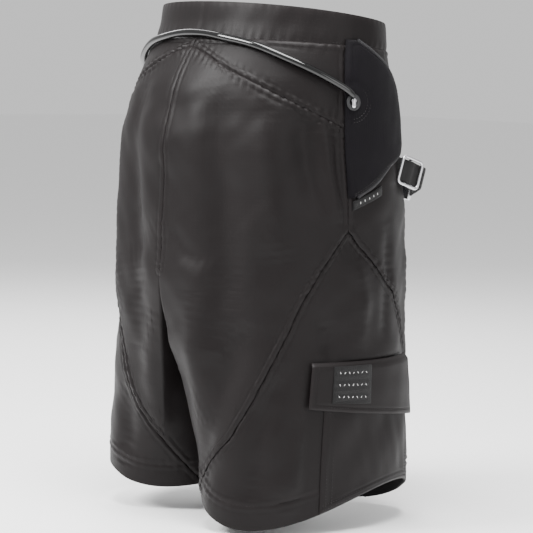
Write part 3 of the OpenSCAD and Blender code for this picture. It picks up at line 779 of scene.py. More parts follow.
def stitch_row(points, normals, body="root", length=2.5, gap=1.1, width=0.42):
    """A row of separate thread stitches, each a small pillow that dips at both ends."""
    total = lengths(points, 0)[-1]
    count = int(total / (length + gap))
    if count < 1:
        return
    t = lengths(points, 0)
    start = np.arange(count) * (total / count)

    def at(x, arr):
        return np.stack([np.interp(x, t, arr[:, k]) for k in range(3)], -1)
    a, b = at(start, points), at(start + length, points)
    n = at(start + length / 2, normals)
    n /= np.linalg.norm(n, axis=1, keepdims=True)
    d = b - a
    d /= np.maximum(np.linalg.norm(d, axis=1, keepdims=True), 1e-6)
    w = np.cross(d, n)
    m = (a + b) / 2
    STITCH[body].append(np.stack([
        a - n * 0.25, m - w * width, m + n * 0.42, m + w * width, b - n * 0.25,
        m - n * 0.3], 1))


STITCH_FACES = [(0, 2, 1), (0, 3, 2), (4, 1, 2), (4, 2, 3), (0, 1, 5), (0, 5, 3), (4, 5, 1), (4, 3, 5)]


def make_stitches(body, name, slot):
    verts = np.concatenate(STITCH[body])
    count = len(verts)
    faces = (np.arange(count)[:, None, None] * 6 + np.array(STITCH_FACES)[None]).reshape(-1, 3)
    obj = add_object(name, verts.reshape(-1, 3), faces.tolist(), MAT["thread"], 80)
    keep(obj, body, slot)


def stitch_seams():
    for (s, kind), line in SEAMS.items():
        if kind == "band":
            shifts = (-2.0, 3.0)
        elif kind == "hem":
            shifts = (0.0,)
        elif kind in ("inseam", "centre_front"):
            shifts = (2.4,)
        else:
            shifts = (2.2, 6.6)
        for shift in shifts:
            sign = -1 if kind == "front" else 1
            pts, n = surface_line(line, s, shift * sign * s, 0.12)
            hide = covered(line[:, 0], line[:, 1], s) > 0.6
            runs = np.split(np.arange(len(line)), np.where(np.diff(hide.astype(int)))[0] + 1)
            for r in runs:
                if len(r) > 3 and not hide[r[0]]:
                    stitch_row(pts[r], n[r])


# ---------------------------------------------------------------- patches, rods and small parts
def patch_grid(a0, a1, top, bottom, rows, cols, ease=0.5):
    u, v = spaced(cols, ease)[None], spaced(rows, ease)[:, None]
    a = mix(a0, a1, u) + 0 * v
    return a, mix(top(a), bottom(a), v), u + 0 * v, v + 0 * u


def patch(name, s, grid, outer, inner, material, wear=None):
    a, z, _, _ = grid
    return sheet(name, shell_pt(a, z, s, outer), shell_pt(a, z, s, inner), material, wear=wear)


def edge_distance(a, z, s):
    """Millimetres from each point of a grid to the grid's nearest border."""
    p = shell_raw(a, z, s)
    across, down = lengths(p, 1), lengths(p, 0)
    return np.minimum(np.minimum(across, across[:, -1:] - across), np.minimum(down, down[-1:] - down))


def frames(path, up=(0, 0, 1), closed=False):
    t = np.gradient(path, axis=0)
    if closed:
        t = np.roll(path, -1, 0) - np.roll(path, 1, 0)
    t /= np.linalg.norm(t, axis=1, keepdims=True)
    b = np.cross(t, np.array(up, float))
    b /= np.maximum(np.linalg.norm(b, axis=1, keepdims=True), 1e-6)
    return b, np.cross(b, t)


def rod_mesh(path, radius, sides=16, up=(0, 0, 1), closed=False, flat=1.0):
    """Verts and faces of a round rod along a path; radius may vary along it."""
    path = np.asarray(path, float)
    n = len(path)
    r = np.broadcast_to(np.asarray(radius, float), (n,))[:, None, None]
    b, c = frames(path, up, closed)
    ang = np.linspace(0, 2 * np.pi, sides, endpoint=False)
    ring = b[:, None] * np.cos(ang)[None, :, None] + c[:, None] * np.sin(ang)[None, :, None] * flat
    verts = (path[:, None] + r * ring).reshape(-1, 3)
    idx = np.arange(n * sides).reshape(n, sides)
    nxt = np.roll(idx, -1, 1)
    a, d = (idx, np.roll(idx, -1, 0)) if closed else (idx[:-1], idx[1:])
    e, f = (nxt, np.roll(nxt, -1, 0)) if closed else (nxt[:-1], nxt[1:])
    faces = np.stack([a, e, f, d], -1).reshape(-1, 4).tolist()
    if not closed:
        faces += [idx[0][::-1].tolist(), idx[-1].tolist()]
    return verts, faces


def join(parts):
    verts, faces, base = [], [], 0
    for v, f in parts:
        verts.append(v)
        faces += [[i + base for i in face] for face in f]
        base += len(v)
    return np.concatenate(verts), faces


def solid(name, parts, material, smooth_angle=40):
    verts, faces = join(parts)
    obj = add_object(name, verts, faces, material, smooth_angle)
    fix_normals(obj)
    return obj


def torus_mesh(centre, axis, major, minor, segments=48, sides=14, flat=1.0):
    n = np.array(axis, float) / np.linalg.norm(axis)
    b = np.cross(n, (0, 0, 1.0))
    b /= np.linalg.norm(b)
    c = np.cross(n, b)
    t = np.linspace(0, 2 * np.pi, segments, endpoint=False)
    path = np.asarray(centre) + major * (np.cos(t)[:, None] * b + np.sin(t)[:, None] * c)
    return rod_mesh(path, minor, sides, n, closed=True, flat=flat)


def capsule(p0, p1, r, sides=20):
    p0, p1 = np.asarray(p0, float), np.asarray(p1, float)
    d = (p1 - p0) / np.linalg.norm(p1 - p0)
    ang = np.linspace(0.05, np.pi / 2, 7)
    far = np.linspace(0, 1.52, 7)
    path = [p0 - d * r * math.cos(x) for x in ang] + [p1 + d * r * math.sin(x) for x in far]
    rad = [r * math.sin(x) for x in ang] + [r * math.cos(x) for x in far]
    up = (1, 0, 0) if abs(d[2]) > 0.7 else (0, 0, 1)
    return rod_mesh(np.array(path), np.array(rad), sides, up)


# ---------------------------------------------------------------- wings
WING_TOP, WING_END = -25.0, -197.0
EYELET = (12.5, -93.0)
ARC_RADII = (18.5, 22.5)


def wing_height(u, v, bulge=3.0):
    dome = (1 - np.abs(2 * u - 1) ** 4) * (1 - np.abs(2 * v - 1) ** 6)
    return 4.3 + bulge * dome


def wing_grid(rows=84, cols=54):
    v, u = spaced(rows, 0.4)[:, None], spaced(cols, 0.4)[None]
    z = mix(WING_TOP, WING_END, v) + 0 * u
    return mix(side_seam(z), wing_edge(z) + 1.2, u), z, u + 0 * v, v + 0 * u


def wing_at(a, z, s, lift=0.0):
    """A point on a wing's face from its angle and height."""
    u = (side_seam(z) - a) / np.maximum(side_seam(z) - wing_edge(z) - 1.2, 0.5)
    v = (z - WING_TOP) / (WING_END - WING_TOP)
    return shell_pt(a, z, s, wing_height(np.clip(u, 0, 1), np.clip(v, 0, 1)) + lift)


def ring_path(s, r, t0, t1, n=40):
    """(angle, height) of an arc round the eyelet."""
    k = np.linalg.norm(shell_raw(EYELET[0] + 1, EYELET[1], s) - shell_raw(EYELET[0], EYELET[1], s))
    t = np.radians(np.linspace(t0, t1, n))
    return EYELET[0] - r * np.cos(t) / k, EYELET[1] + r * np.sin(t)


def make_wing(s):
    name = SIDE_NAME[s]
    a, z, u, v = wing_grid()
    p = shell_raw(a, z, s)
    off = wing_height(u, v)
    hub = shell_raw(*[np.array(x) for x in EYELET], s)
    d = np.linalg.norm(p - hub, axis=-1)
    for r in ARC_RADII:
        off = off - 0.8 * np.exp(-((d - r) / 1.5) ** 2)
    off = off + 0.6 * wave_noise(p, 70, 31) + 0.25 * wave_noise(p, 22, 32)
    edge = edge_distance(a, z, s)
    off = off - 1.5 * np.exp(-(edge / 2.6) ** 2)
    off = off - 0.5 * np.exp(-((edge - 7.5) / 1.3) ** 2)
    obj = patch("wing_" + name, s, (a, z, u, v), off, 0.9 + 0 * off, MAT["neoprene"])
    keep(obj, "root", "neoprene", "wing_" + name)
    # ribbed binding rolled over the free edge
    zz = np.linspace(WING_TOP - 1, WING_END + 1, 260)
    line = resample(np.stack([wing_edge(zz), zz], -1) * np.array([2.2, 1]), 0.7) / np.array([2.2, 1])
    path = shell_pt(line[:, 0] + 0.6, line[:, 1], s, 2.5)
    path = curve_points(resample(path, 6.0), 0.75)
    along = lengths(path, 0)
    rib = 2.5 + 0.22 * np.sin(2 * np.pi * along / 2.2) + 0.12 * wave_noise(path, 30, 9)
    binding = solid("wing_binding_" + name, [rod_mesh(path, rib, 14, (s, 0, 0))], MAT["binding"], 60)
    point_attribute(binding, "cut", np.repeat(np.stack([0 * along, along, 0 * along], -1), 14, 0))
    keep(binding, "root", "binding", "wing_binding_" + name)
    for shift in (3.2, 7.5):
        inside = wing_edge(zz) + 2.6 + shift * 0.42
        keep_in = inside < side_seam(zz) - 3
        q = wing_at(inside[keep_in], zz[keep_in], s, 0.05)
        stitch_row(q, shell_normal(inside[keep_in], zz[keep_in], s), length=2.6, gap=1.2)
    for r in ARC_RADII:
        ra, rz = ring_path(s, r, -85, 85)
        stitch_row(wing_at(ra, rz, s, -0.45), shell_normal(ra, rz, s), length=2.4, gap=1.0)


def make_eyelets():
    for s in (LEFT, RIGHT):
        name = SIDE_NAME[s]
        a, z = np.array(EYELET[0]), np.array(EYELET[1])
        p = shell_pt(a, z, s, 5.9)
        n = shell_normal(a, z, s)
        ring = solid("eyelet_" + name, [torus_mesh(p, n, 6.6, 2.0, flat=0.62),
                                        torus_mesh(p + n * 0.6, n, 8.4, 0.8, flat=0.7)], MAT["moulded"])
        keep(ring, "root", "moulded", "eyelet_" + name)
        q = shell_pt(a, z, s, 6.6)
        end = solid("rail_end_" + name, [capsule(q + (0, 0, -4.0), q + (0, 0, 2.0), 2.7),
                                         rod_mesh([q + (0, 0, 0.6), q + (0, 0, 2.6)], 3.2, 24, (1, 0, 0))],
                    MAT["steel"])
        keep(end, "root", "steel", "rail_end_" + name)


# The rail's centre line on one side: (angle, height, distance off the cloth)
RAIL_ROUTE = [(12.5, -88, 8.6), (19, -79, 8.2), (36, -64, 6.5), (56, -50, 5.8), (80, -36, 5.8),
              (103, -28, 5.8), (118, -24, 5.8)]


def make_rail():
    half = [shell_pt(np.array(float(a)), np.array(float(z)), RIGHT, float(o)) for a, z, o in RAIL_ROUTE]
    keys = half + [np.array([-p[0], p[1], p[2]]) for p in half[::-1]]
    line = curve_points(keys, 2.4)
    along = lengths(line, 0)
    start = (along > 2.0) & (along < along[-1] - 2.0)
    line = line[start]
    line[:, 2] += 0.5 * np.sin(lengths(line, 0) / 37.0)
    t = np.linspace(0, 1, len(line))
    body = 3.95 + 0.12 * wave_noise(line, 60, 41)
    body = body - 0.9 * np.exp(-np.minimum(t, 1 - t) * len(line) / 1.5)
    keep(solid("rail_sleeve", [rod_mesh(line, body, 28)], MAT["sleeve"]), "root", "rail_sleeve", "rail_tube")
    keep(solid("rail_rope", [rod_mesh(line[2:-2], 2.3, 12)], MAT["rope"]), "root", "rope", "rail_core")


# ---------------------------------------------------------------- harness
SWING = np.array([0.0, -66.0, -166.0])
TILT = math.radians(17.5)
STRAP_X, BEND_AT, BEND_R = 152.0, -38.0, 8.0
TURN = math.radians(53)
BAR_X, BAR_BOW = 97.0, 18.0
BEND_END = (STRAP_X - BEND_R + BEND_R * math.cos(TURN), BEND_AT - BEND_R * math.sin(TURN))
BAR_Y = BEND_END[1] - (BEND_END[0] - BAR_X - 3.5) / math.tan(TURN)
BAR_R = (BAR_X ** 2 + BAR_BOW ** 2) / (2 * BAR_BOW)
WEB_W = 25.0
BUCKLE_MID, BUCKLE_L = -17.0, 35.0


def harness(p):
    """From the tilted plane of the straps to the garment's axes."""
    p = np.asarray(p, float)
    c, s = math.cos(TILT), math.sin(TILT)
    y, z = p[..., 1] * c - p[..., 2] * s, p[..., 1] * s + p[..., 2] * c
    return np.stack([p[..., 0], y, z], -1) + SWING


def strap_path(s, step=1.5):
    """Centre line of a strap from under the wing to the bar, over the buckle's middle bar."""
    ys = np.arange(22, BEND_AT, -step)
    hump = 2.3 * np.exp(-((ys - BUCKLE_MID) / 6.0) ** 2)
    dip = -0.5 * (np.exp(-((ys - BUCKLE_MID - 16) / 4.0) ** 2) + np.exp(-((ys - BUCKLE_MID + 16) / 4.0) ** 2))
    tucked = -smooth((ys + 4) / 14) * 5.5
    run = np.stack([STRAP_X + hump + dip + tucked, ys], -1)
    ang = np.linspace(0, TURN, 9)
    bend = np.stack([STRAP_X - BEND_R + BEND_R * np.cos(ang), BEND_AT - BEND_R * np.sin(ang)], -1)
    line = np.concatenate([run, bend, [(BAR_X + 2.0, BAR_Y - 0.5)]])
    return resample(line, step) * np.array([s, 1])


def webbing_grids(line, normal, width, thick, cols=20):
    """Outer and inner faces of webbing along a line in a plane, with soft selvedges."""
    w = np.linspace(-1, 1, cols)[None]
    edge = 1 - np.abs(w) ** 10 * 0.55
    mid = np.repeat(line[:, None], cols, 1)
    sag = 0.25 * wave_noise(mid + w[..., None] * np.array([0, 0, 20.0]), 45, 51)
    mid[..., 2] += w * width / 2
    face = normal[:, None] * np.ones((1, cols, 1))
    return mid + face * (thick / 2 * edge + sag)[..., None], mid - face * (thick / 2 * edge - sag)[..., None]


def make_straps():
    for s in (LEFT, RIGHT):
        name = SIDE_NAME[s]
        flat = strap_path(s)
        line = np.column_stack([flat, 0 * flat[:, 0]])
        t = np.gradient(line, axis=0)
        t /= np.linalg.norm(t, axis=1, keepdims=True)
        outer, inner = webbing_grids(line, np.cross(t, (0, 0, 1.0)) * -s, WEB_W, 2.2)
        obj = sheet("strap_" + name, harness(outer), harness(inner), MAT["webbing"])
        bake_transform(obj)
        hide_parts("strap_" + name)
        make_buckle(s)


def make_buckle(s):
    name = SIDE_NAME[s]
    x_out, x_in = STRAP_X + 3.0, STRAP_X - 2.6
    top, half = WEB_W / 2 + 2.9, BUCKLE_L / 2 - 1.6
    corner = 4.5
    path = []
    for cy, cz, a0 in ((1, 1, 0), (-1, 1, 90), (-1, -1, 180), (1, -1, 270)):
        for a in np.radians(np.linspace(a0, a0 + 90, 7)):
            path.append((x_out, BUCKLE_MID + cy * (half - corner) + corner * math.cos(a),
                         cz * (top - corner) + corner * math.sin(a)))
    path = np.array(path)
    path = resample(np.vstack([path, path[:1]]), 1.6)[:-1]
    frame_rod = rod_mesh(path, 1.65, 14, (1, 0, 0), closed=True)
    legs = [(x_out, top), (x_out - 1.2, top - 0.4), (x_in + 1.5, top - 1.2), (x_in, top - 2.6)]
    bar = [(x, BUCKLE_MID, z) for x, z in legs]
    bar = curve_points(bar + [(x, BUCKLE_MID, -z) for x, z in legs[::-1]], 1.5)
    middle = rod_mesh(bar, 1.5, 14, (0, 1, 0))
    parts = [(harness(v * np.array([s, 1, 1])), f) for v, f in (frame_rod, middle)]
    keep(solid("buckle_" + name, parts, MAT["steel"], 60), "buckle_" + name, "steel", "buckle_" + name)


def bar_profile(offset=0.0, span=1.0, n=72):
    half = math.asin(BAR_X / BAR_R) * span
    ang = np.linspace(-half, half, n)
    r = BAR_R + offset
    return np.stack([r * np.sin(ang), BAR_Y - BAR_BOW + BAR_R - r * np.cos(ang)], -1), ang


def plate(span, offset, thick, height, corner, round_edge, rows=26):
    """A bowed plate with rounded edges, as outer and inner grids."""
    line, ang = bar_profile(offset, span)
    n = np.stack([np.sin(ang), -np.cos(ang)], -1)
    v = np.linspace(-1, 1, rows)[:, None]
    end = np.minimum(np.arange(len(line)), np.arange(len(line))[::-1]) * 3.0
    half = height / 2 - corner * (1 - np.sqrt(1 - (1 - np.clip(end / corner, 0, 1)) ** 2))
    soft = np.sqrt(np.clip(1 - np.maximum(np.abs(v) * height / 2 - height / 2 + round_edge, 0) ** 2
                           / round_edge ** 2, 0.02, 1)) * np.ones((1, len(line)))
    z = v * half

    def grid(side):
        q = line[None] + n[None] * (side * thick / 2 * soft)[..., None]
        return np.concatenate([q, (z * np.ones((1, len(line))))[..., None]], -1)
    return grid(1), grid(-1)


def make_bar():
    outer, inner = plate(0.985, 0.0, 3.8, 34, 5.0, 1.6)
    main = sheet("spreader_bar", harness(outer), harness(inner), MAT["steel"])
    keep(main, "bar", "steel", "spreader_bar")
    ends = []
    for sx in (-1, 1):
        ends.append(rod_mesh(harness(np.array([(sx * (BAR_X - 0.5), BAR_Y, z) for z in (-17, -16, 16, 17)])),
                             [2.6, 3.2, 3.2, 2.6], 24, (0, 1, 0)))
    keep(solid("bar_eyes", ends, MAT["steel"]), "bar", "steel")
    outer, inner = plate(0.9, -5.3, 6.4, 44, 8.0, 3.0, 34)
    puff = wave_noise(outer, 26, 61)[..., None] * 0.35
    outer, inner = outer + puff * np.array([0, -0.2, 0]), inner + puff * np.array([0, 1, 0])
    pad = sheet("bar_pad", harness(outer), harness(inner), MAT["foam"])
    keep(pad, "bar", "foam", "bar_pad")


def make_hook():
    y0 = BAR_Y - BAR_BOW - 2.1
    pts = [(0, y0 + 1.5, 6), (0, y0 - 8, 6), (0, y0 - 18, 6)]
    for a in np.radians(np.linspace(90, -90, 15)):
        pts.append((0, y0 - 26 - 17 * math.cos(a), 6 - 17 + 17 * math.sin(a)))
    pts.append((0, y0 - 22, 6 - 34))
    path = curve_points(pts, 1.6)
    along = lengths(path, 0)
    tip = np.clip((along[-1] - along) / 5.0, 0, 1)
    radius = 4.9 * np.sqrt(np.clip(1 - (1 - tip) ** 2, 0.02, 1))
    collar = [(0, y0 + step, 6) for step in (0.1, -1.2, -2.6, -3.2)]
    base = rod_mesh(collar, [8, 8, 7.2, 5.2], 32)
    parts = [(harness(v), f) for v, f in (rod_mesh(path, radius, 24, (1, 0, 0)), base)]
    keep(solid("hook", parts, MAT["steel"], 50), "bar", "steel", "hook")


# ---------------------------------------------------------------- inner pads and leg straps
def quilt(p, pitch_x, pitch_y):
    """Depth of stitched channels across a pad."""
    across, down = lengths(p, 1), lengths(p, 0)
    gx = np.abs((across / pitch_x + 0.5) % 1 - 0.5) * pitch_x
    gy = np.abs((down / pitch_y + 0.5) % 1 - 0.5) * pitch_y
    return np.exp(-(gx / 2.4) ** 2) + np.exp(-(gy / 2.4) ** 2) * 0.9


def make_pad(name, s, a0, a1, top, bottom, depth, rows, cols):
    grid = patch_grid(a0, a1, lambda a: top + 0 * a, lambda a: bottom + 0 * a, rows, cols)
    a, z, u, v = grid
    p = shell_raw(a, z, s)
    fill = (1 - np.abs(2 * u - 1) ** 8) * (1 - np.abs(2 * v - 1) ** 8)
    seam = np.clip(quilt(p, 38, 34), 0, 1)
    inward = 4.8 + depth * fill * (1 - 0.45 * seam) + fill * 0.4 * wave_noise(p, 24, 71)
    over = relief(p, 2 * CORNER_A - a, z, -s)[0]
    sunk = np.minimum(np.where(a > CORNER_A, over, relief(p, a, z, s)[0]), 0)
    obj = patch(name, s, grid, sunk - 2.6 - 0.6 * (1 - fill), sunk - inward, MAT["foam"], wear=seam)
    keep(obj, "root", "foam", name)


def make_pads():
    make_pad("seat_pad", LEFT, 50, 2 * CORNER_A - 50, -104, -252, 7.6, 56, 116)
    make_pad("back_pad", LEFT, 60, 2 * CORNER_A - 60, -38, -99, 5.2, 30, 90)
    for s in (LEFT, RIGHT):
        make_pad("hip_pad_" + SIDE_NAME[s], s, 44, -60, -48, -196, 4.6, 52, 52)


def make_leg_straps():
    for s in (LEFT, RIGHT):
        name = SIDE_NAME[s]
        a, z = np.meshgrid(np.linspace(-180, 180, 145)[:-1], np.linspace(-330, -366, 13))
        soft = 1 - 0.5 * np.abs(np.linspace(-1, 1, 13))[:, None] ** 10
        p = shell_raw(a, z, s)
        wob = 0.4 * wave_noise(p, 60, 81) + np.minimum(relief(p, a, z, s)[0], 0)
        obj = sheet("leg_strap_" + name, shell_pt(a, z, s, -5.2 + 0.9 * soft + wob),
                    shell_pt(a, z, s, -6.4 - 0.9 * (soft - 0.5) + wob), MAT["webbing"], wrap=True)
        keep(obj, "root", "webbing", "leg_strap_" + name)
        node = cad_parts["leg_slider_" + name]
        node.data.materials.clear()
        node.data.materials.append(MAT["moulded"])
        bevel = node.modifiers.new("round", "BEVEL")
        bevel.width, bevel.segments, bevel.limit_method = 0.0007, 2, "ANGLE"


# ---------------------------------------------------------------- pocket, label and tag
def flap_bottom(a):
    return mix(-426, -446, (POCKET_A[0] - a) / (POCKET_A[0] - POCKET_A[1]))


def on_patch(u, v, a0, a1, top, bottom):
    a = mix(a0, a1, u)
    return a, mix(top(a), bottom(a), v)


def make_pocket():
    top = FLAP_TOP - 9

    def bag_top(a):
        return top + 0 * a

    def bag_bottom(a):
        return hem_z(a, RIGHT) + 0.6
    a0, a1 = 22, POCKET_A[1] + 3
    grid = patch_grid(a0, a1, bag_top, bag_bottom, 84, 70, 0.7)
    a, z, u, v = grid
    p = shell_raw(a, z, RIGHT)
    edge = edge_distance(a, z, RIGHT)
    off = 0.8 + 3.3 * smooth(edge / 5.0) ** 0.5
    off = off - 0.5 * np.exp(-((edge - 4.2) / 1.1) ** 2) - 0.45 * np.exp(-((edge - 9.6) / 1.1) ** 2)
    off = off + smooth(edge / 20) * (0.9 * wave_noise(p, 80, 91) + 0.35 * wave_noise(p, 30, 92))
    off = np.maximum(off, 0.55)
    worn = np.exp(-(edge / 3.0) ** 2) * 0.8
    obj = patch("pocket_bag", RIGHT, grid, off, 0.2 + 0 * off, MAT["cloth"], wear=worn)
    keep(obj, "root", "shell_cloth", "pocket_bag")
    t = np.linspace(0.01, 0.99, 120)
    for inset in (4.2, 9.6):
        k = inset / 112
        for uu, vv in ((k + 0 * t, t), (1 - k + 0 * t, t), (t, 1 - inset / 165 + 0 * t)):
            la, lz = on_patch(uu, vv, a0, a1, bag_top, bag_bottom)
            stitch_row(shell_pt(la, lz, RIGHT, 3.75), shell_normal(la, lz, RIGHT))
    tapes = (("pocket_hook_tape", "root", 4.4, 5.3), ("pocket_loop_tape", "flap", 5.5, 6.3))
    for name, body, low, high in tapes:
        g = patch_grid(10, -26, lambda x: FLAP_TOP - 30 + 0 * x, lambda x: FLAP_TOP - 48 + 0 * x, 14, 40)
        fuzz = RNG.normal(0, 0.08, g[0].shape)
        tape = patch(name, RIGHT, g, high + fuzz, low + 0 * fuzz, MAT["tape"])
        keep(tape, body, "hook_tape", name)


def flap_height(a, z, v):
    p = shell_raw(a, z, RIGHT)
    edge = edge_distance(a, z, RIGHT)
    off = 8.5 - 3.2 * (1 - smooth(v / 0.10))
    off = off - 0.9 * np.exp(-(edge / 1.4) ** 2) - 0.45 * np.exp(-((edge - 6.0) / 1.1) ** 2)
    return off + 0.35 * wave_noise(p, 46, 95) * smooth(v / 0.3), edge


def make_flap():
    def top(a):
        return FLAP_TOP + 0 * a
    grid = patch_grid(*POCKET_A, top, flap_bottom, 44, 92, 0.7)
    a, z, _, v = grid
    off, edge = flap_height(a, z, v)
    inner = np.where(v < 0.12, np.minimum(off - 1.6, 6.4), 6.45)
    obj = patch("pocket_flap", RIGHT, grid, off, np.minimum(inner, off - 0.8), MAT["cloth"],
                wear=np.exp(-(edge / 2.5) ** 2))
    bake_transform(obj)
    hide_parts("pocket_flap")
    t = np.linspace(0, 1, 120)
    du, dv = 0.045, 0.085
    across, down = mix(du, 1 - du, t), mix(dv, 1 - dv, t)
    # the first row sews the flap to the leg, the others only hem it
    rows = (("root", 7.2, across, dv + 0 * t), ("flap", 8.15, across, 1 - dv + 0 * t),
            ("flap", 8.15, du + 0 * t, down), ("flap", 8.15, 1 - du + 0 * t, down))
    for where, lift, uu, vv in rows:
        la, lz = on_patch(uu, vv, *POCKET_A, top, flap_bottom)
        stitch_row(shell_pt(la, lz, RIGHT, lift + 0 * la), shell_normal(la, lz, RIGHT), where)


def mark(points, normals, size, out):
    """A small raised embroidered bar for the label's and tag's pattern."""
    for p, n, d in zip(points, normals, size):
        w = np.cross(d, n)
        w = w / np.linalg.norm(w) * 0.55
        out.append(np.stack([p - d - n * 0.1, p - w, p + n * 0.35, p + w, p + d - n * 0.1, p - n * 0.3]))


def marks_object(name, quads, body, slot):
    verts = np.stack(quads)
    faces = (np.arange(len(verts))[:, None, None] * 6 + np.array(STITCH_FACES)[None]).reshape(-1, 3)
    keep(add_object(name, verts.reshape(-1, 3), faces.tolist(), MAT["print"], 80), body, slot)


def make_label():
    def top(a):
        return FLAP_TOP - 4 + 0 * a

    def bottom(a):
        return FLAP_TOP - 44 - (20 - a) * 0.15
    grid = patch_grid(20, -3, top, bottom, 26, 26)
    a, z, u, v = grid
    edge = edge_distance(a, z, RIGHT)
    off = 9.55 - 0.5 * np.exp(-(edge / 0.8) ** 2) - 0.2 * np.exp(-((edge - 2.4) / 0.7) ** 2)
    obj = patch("label_patch", RIGHT, grid, off, 8.3 + 0 * off, MAT["label"], wear=np.exp(-(edge / 2) ** 2))
    keep(obj, "flap", "label", "label_patch")
    quads = []
    for vv in (0.18, 0.50, 0.82):
        uu = np.linspace(0.16, 0.84, 7)
        la, lz = on_patch(uu, vv + 0 * uu, 20, -3, top, bottom)
        p, n = shell_pt(la, lz, RIGHT, 9.5), shell_normal(la, lz, RIGHT)
        tangent = np.gradient(p, axis=0)
        tangent /= np.linalg.norm(tangent, axis=1, keepdims=True)
        tilt = np.array([0, 0, 1.0]) * np.where(np.arange(7) % 2, 1, -1)[:, None]
        mark(p, n, (tangent * 0.75 + tilt) * 2.0, quads)
    marks_object("label_pattern", quads, "flap", "label")
    t = np.linspace(0.08, 0.92, 60)
    for uu, vv in ((t, 0.06 + 0 * t), (t, 0.94 + 0 * t), (0.06 + 0 * t, t), (0.94 + 0 * t, t)):
        la, lz = on_patch(uu, vv, 20, -3, top, bottom)
        stitch_row(shell_pt(la, lz, RIGHT, 9.35), shell_normal(la, lz, RIGHT), "flap", 1.8, 0.8, 0.3)


def make_tag():
    def top(a):
        return -201 + (11 - a) * 0.75

    def bottom(a):
        return top(a) - 10
    grid = patch_grid(11, -11, top, bottom, 14, 40)
    a, z, u, v = grid
    edge = edge_distance(a, z, RIGHT)
    off = 4.4 - 0.9 * np.exp(-(edge / 0.9) ** 2) + 0.2 * np.sin(u * 9)
    obj = patch("side_tag", RIGHT, grid, off, 1.3 + 0 * off, MAT["label"])
    keep(obj, "root", "label", "side_tag")
    quads = []
    uu = np.linspace(0.22, 0.78, 5)
    la, lz = on_patch(uu, 0.5 + 0 * uu, 11, -11, top, bottom)
    p, n = shell_pt(la, lz, RIGHT, 4.4 + 0.2 * np.sin(uu * 9)), shell_normal(la, lz, RIGHT)
    mark(p, n, np.tile([0, 0, 2.0], (5, 1)), quads)
    marks_object("tag_pattern", quads, "root", "label")


# ---------------------------------------------------------------- fly
def fly_a(x):
    turn = np.degrees(np.arcsin(np.clip((np.abs(x) / 150) ** (1 / 0.92), 0, 1))) * CORNER_A / 90
    return np.where(x > 0, -CORNER_A + turn, -CORNER_A - turn)


def fly_patch(name, x0, x1, top, bottom, out, inside, material, rows, cols, rough=0.3):
    u, v = spaced(cols, 0.5)[None], spaced(rows, 0.5)[:, None]
    a = fly_a(mix(x0, x1, u)) + 0 * v
    z = mix(top(a), bottom(a), v)
    edge = edge_distance(a, z, LEFT)
    off = out + rough * wave_noise(shell_raw(a, z, LEFT), 40, 101) * smooth(edge / 12)
    off = off - 0.6 * np.exp(-(edge / 1.2) ** 2) - 0.4 * np.exp(-((edge - 5.0) / 1.1) ** 2)
    return patch(name, LEFT, (a, z, u, v), off, inside + 0 * off, material, wear=np.exp(-(edge / 2.5) ** 2))


def make_fly():
    end = -126.0
    flap = fly_patch("fly_flap", 25.5, -24, rim_z, lambda a: end + 8 + 0 * a, 5.4, 3.7, MAT["cloth"], 60, 40)
    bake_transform(flap)
    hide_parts("fly_flap")
    t = np.linspace(0, 1, 100)
    for x in (-19.5, 15.0):
        a = fly_a(x + 0 * t)
        z = mix(rim_z(a) - 6, end + 14, t)
        stitch_row(shell_pt(a, z, LEFT, 5.15), shell_normal(a, z, LEFT), "fly")
    a = fly_a(mix(15, -19.5, t))
    stitch_row(shell_pt(a, end + 13.5 + 0 * a, LEFT, 5.15), shell_normal(a, end + 13.5 + 0 * a, LEFT), "fly")
    tongue = fly_patch("fly_tongue", 30, -30, lambda a: rim_z(a) - 6, lambda a: end - 14 + 0 * a, -4.7, -7.1,
                       MAT["neoprene"], 50, 34, 0.2)
    keep(tongue, "root", "neoprene", "fly_tongue")
    for name, body, out, inside in (("fly_hook_tape", "root", 1.8, 1.0), ("fly_loop_tape", "fly", 3.0, 2.2)):
        tape = fly_patch(name, -13.5, -22, lambda a: -40 + 0 * a, lambda a: end + 16 + 0 * a, out, inside,
                         MAT["tape"], 50, 10, 0.05)
        keep(tape, body, "hook_tape", name)


# ---------------------------------------------------------------- studio
def area_light(name, place, target, size, power):
    data = bpy.data.lights.new(name, "AREA")
    data.shape, data.size, data.energy = "SQUARE", size, power
    obj = bpy.data.objects.new(name, data)
    bpy.context.scene.collection.objects.link(obj)
    obj.location = place
    obj.rotation_euler = (Vector(target) - Vector(place)).to_track_quat("-Z", "Y").to_euler()


def round_view(azimuth, elevation, distance, target):
    a, e = math.radians(azimuth), math.radians(elevation)
    back = Vector((math.sin(a) * math.cos(e), -math.cos(a) * math.cos(e), math.sin(e)))
    return Vector(target) + back * distance, back


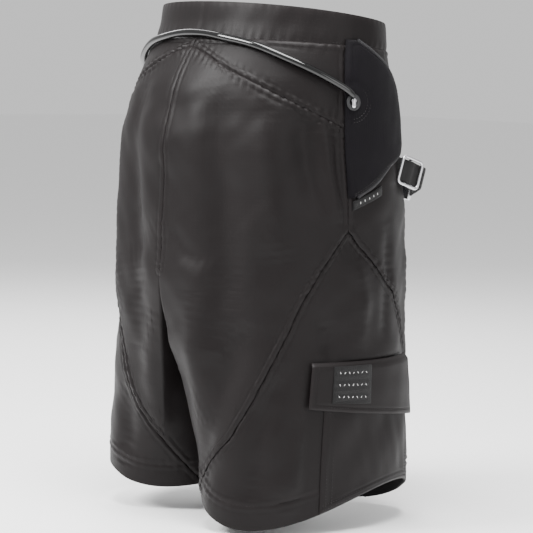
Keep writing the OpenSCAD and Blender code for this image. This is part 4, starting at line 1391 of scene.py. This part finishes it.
def make_studio():
    centre = (0, 0, -0.278)
    place, back = round_view(228, 5, 2.8, centre)
    right = Vector((0, 0, 1)).cross(back).normalized()
    up = back.cross(right)
    roll = math.radians(1.5)
    right, up = right * math.cos(roll) + up * math.sin(roll), up * math.cos(roll) - right * math.sin(roll)
    data = bpy.data.cameras.new("camera")
    data.lens, data.sensor_width = 164.5, 36
    data.shift_x, data.shift_y = 0.0103, -0.0141
    data.clip_start, data.clip_end = 0.05, 100
    camera = bpy.data.objects.new("camera", data)
    bpy.context.scene.collection.objects.link(camera)
    camera.matrix_world = Matrix.Translation(place) @ Matrix((right, up, back)).transposed().to_4x4()
    bpy.context.scene.camera = camera
    mesh = bpy.data.meshes.new("floor")
    half, level = 12, -0.565
    corners = [(x * half, y * half, level) for x, y in ((-1, -1), (1, -1), (1, 1), (-1, 1))]
    mesh.from_pydata(corners, [], [(0, 1, 2, 3)])
    floor = bpy.data.objects.new("floor", mesh)
    mesh.materials.append(new_material("floor", (0.93, 0.93, 0.93), 0.9)[0])
    bpy.context.scene.collection.objects.link(floor)
    world = bpy.data.worlds.new("studio")
    world.use_nodes = True
    world.node_tree.nodes["Background"].inputs["Color"].default_value = (1, 1, 1, 1)
    world.node_tree.nodes["Background"].inputs["Strength"].default_value = 0.8
    bpy.context.scene.world = world
    for name, az, el, dist, size, power in (("key", 158, 40, 2.0, 0.8, 70), ("fill", 268, 16, 2.2, 1.0, 10),
                                            ("top", 228, 74, 1.7, 1.0, 70), ("rim", 60, 40, 2.2, 1.2, 40)):
        spot, _ = round_view(az, el, dist, centre)
        area_light(name, spot, centre, size, power)


make_shell()
make_waistband()
stitch_seams()
for side in (LEFT, RIGHT):
    make_wing(side)
make_eyelets()
make_rail()
make_straps()
make_bar()
make_hook()
make_pads()
make_leg_straps()
make_pocket()
make_flap()
make_label()
make_tag()
make_fly()
make_stitches("root", "stitches_shell", "shell_cloth")
make_stitches("flap", "stitches_flap", "shell_cloth")
make_stitches("fly", "stitches_fly", "shell_cloth")
make_studio()
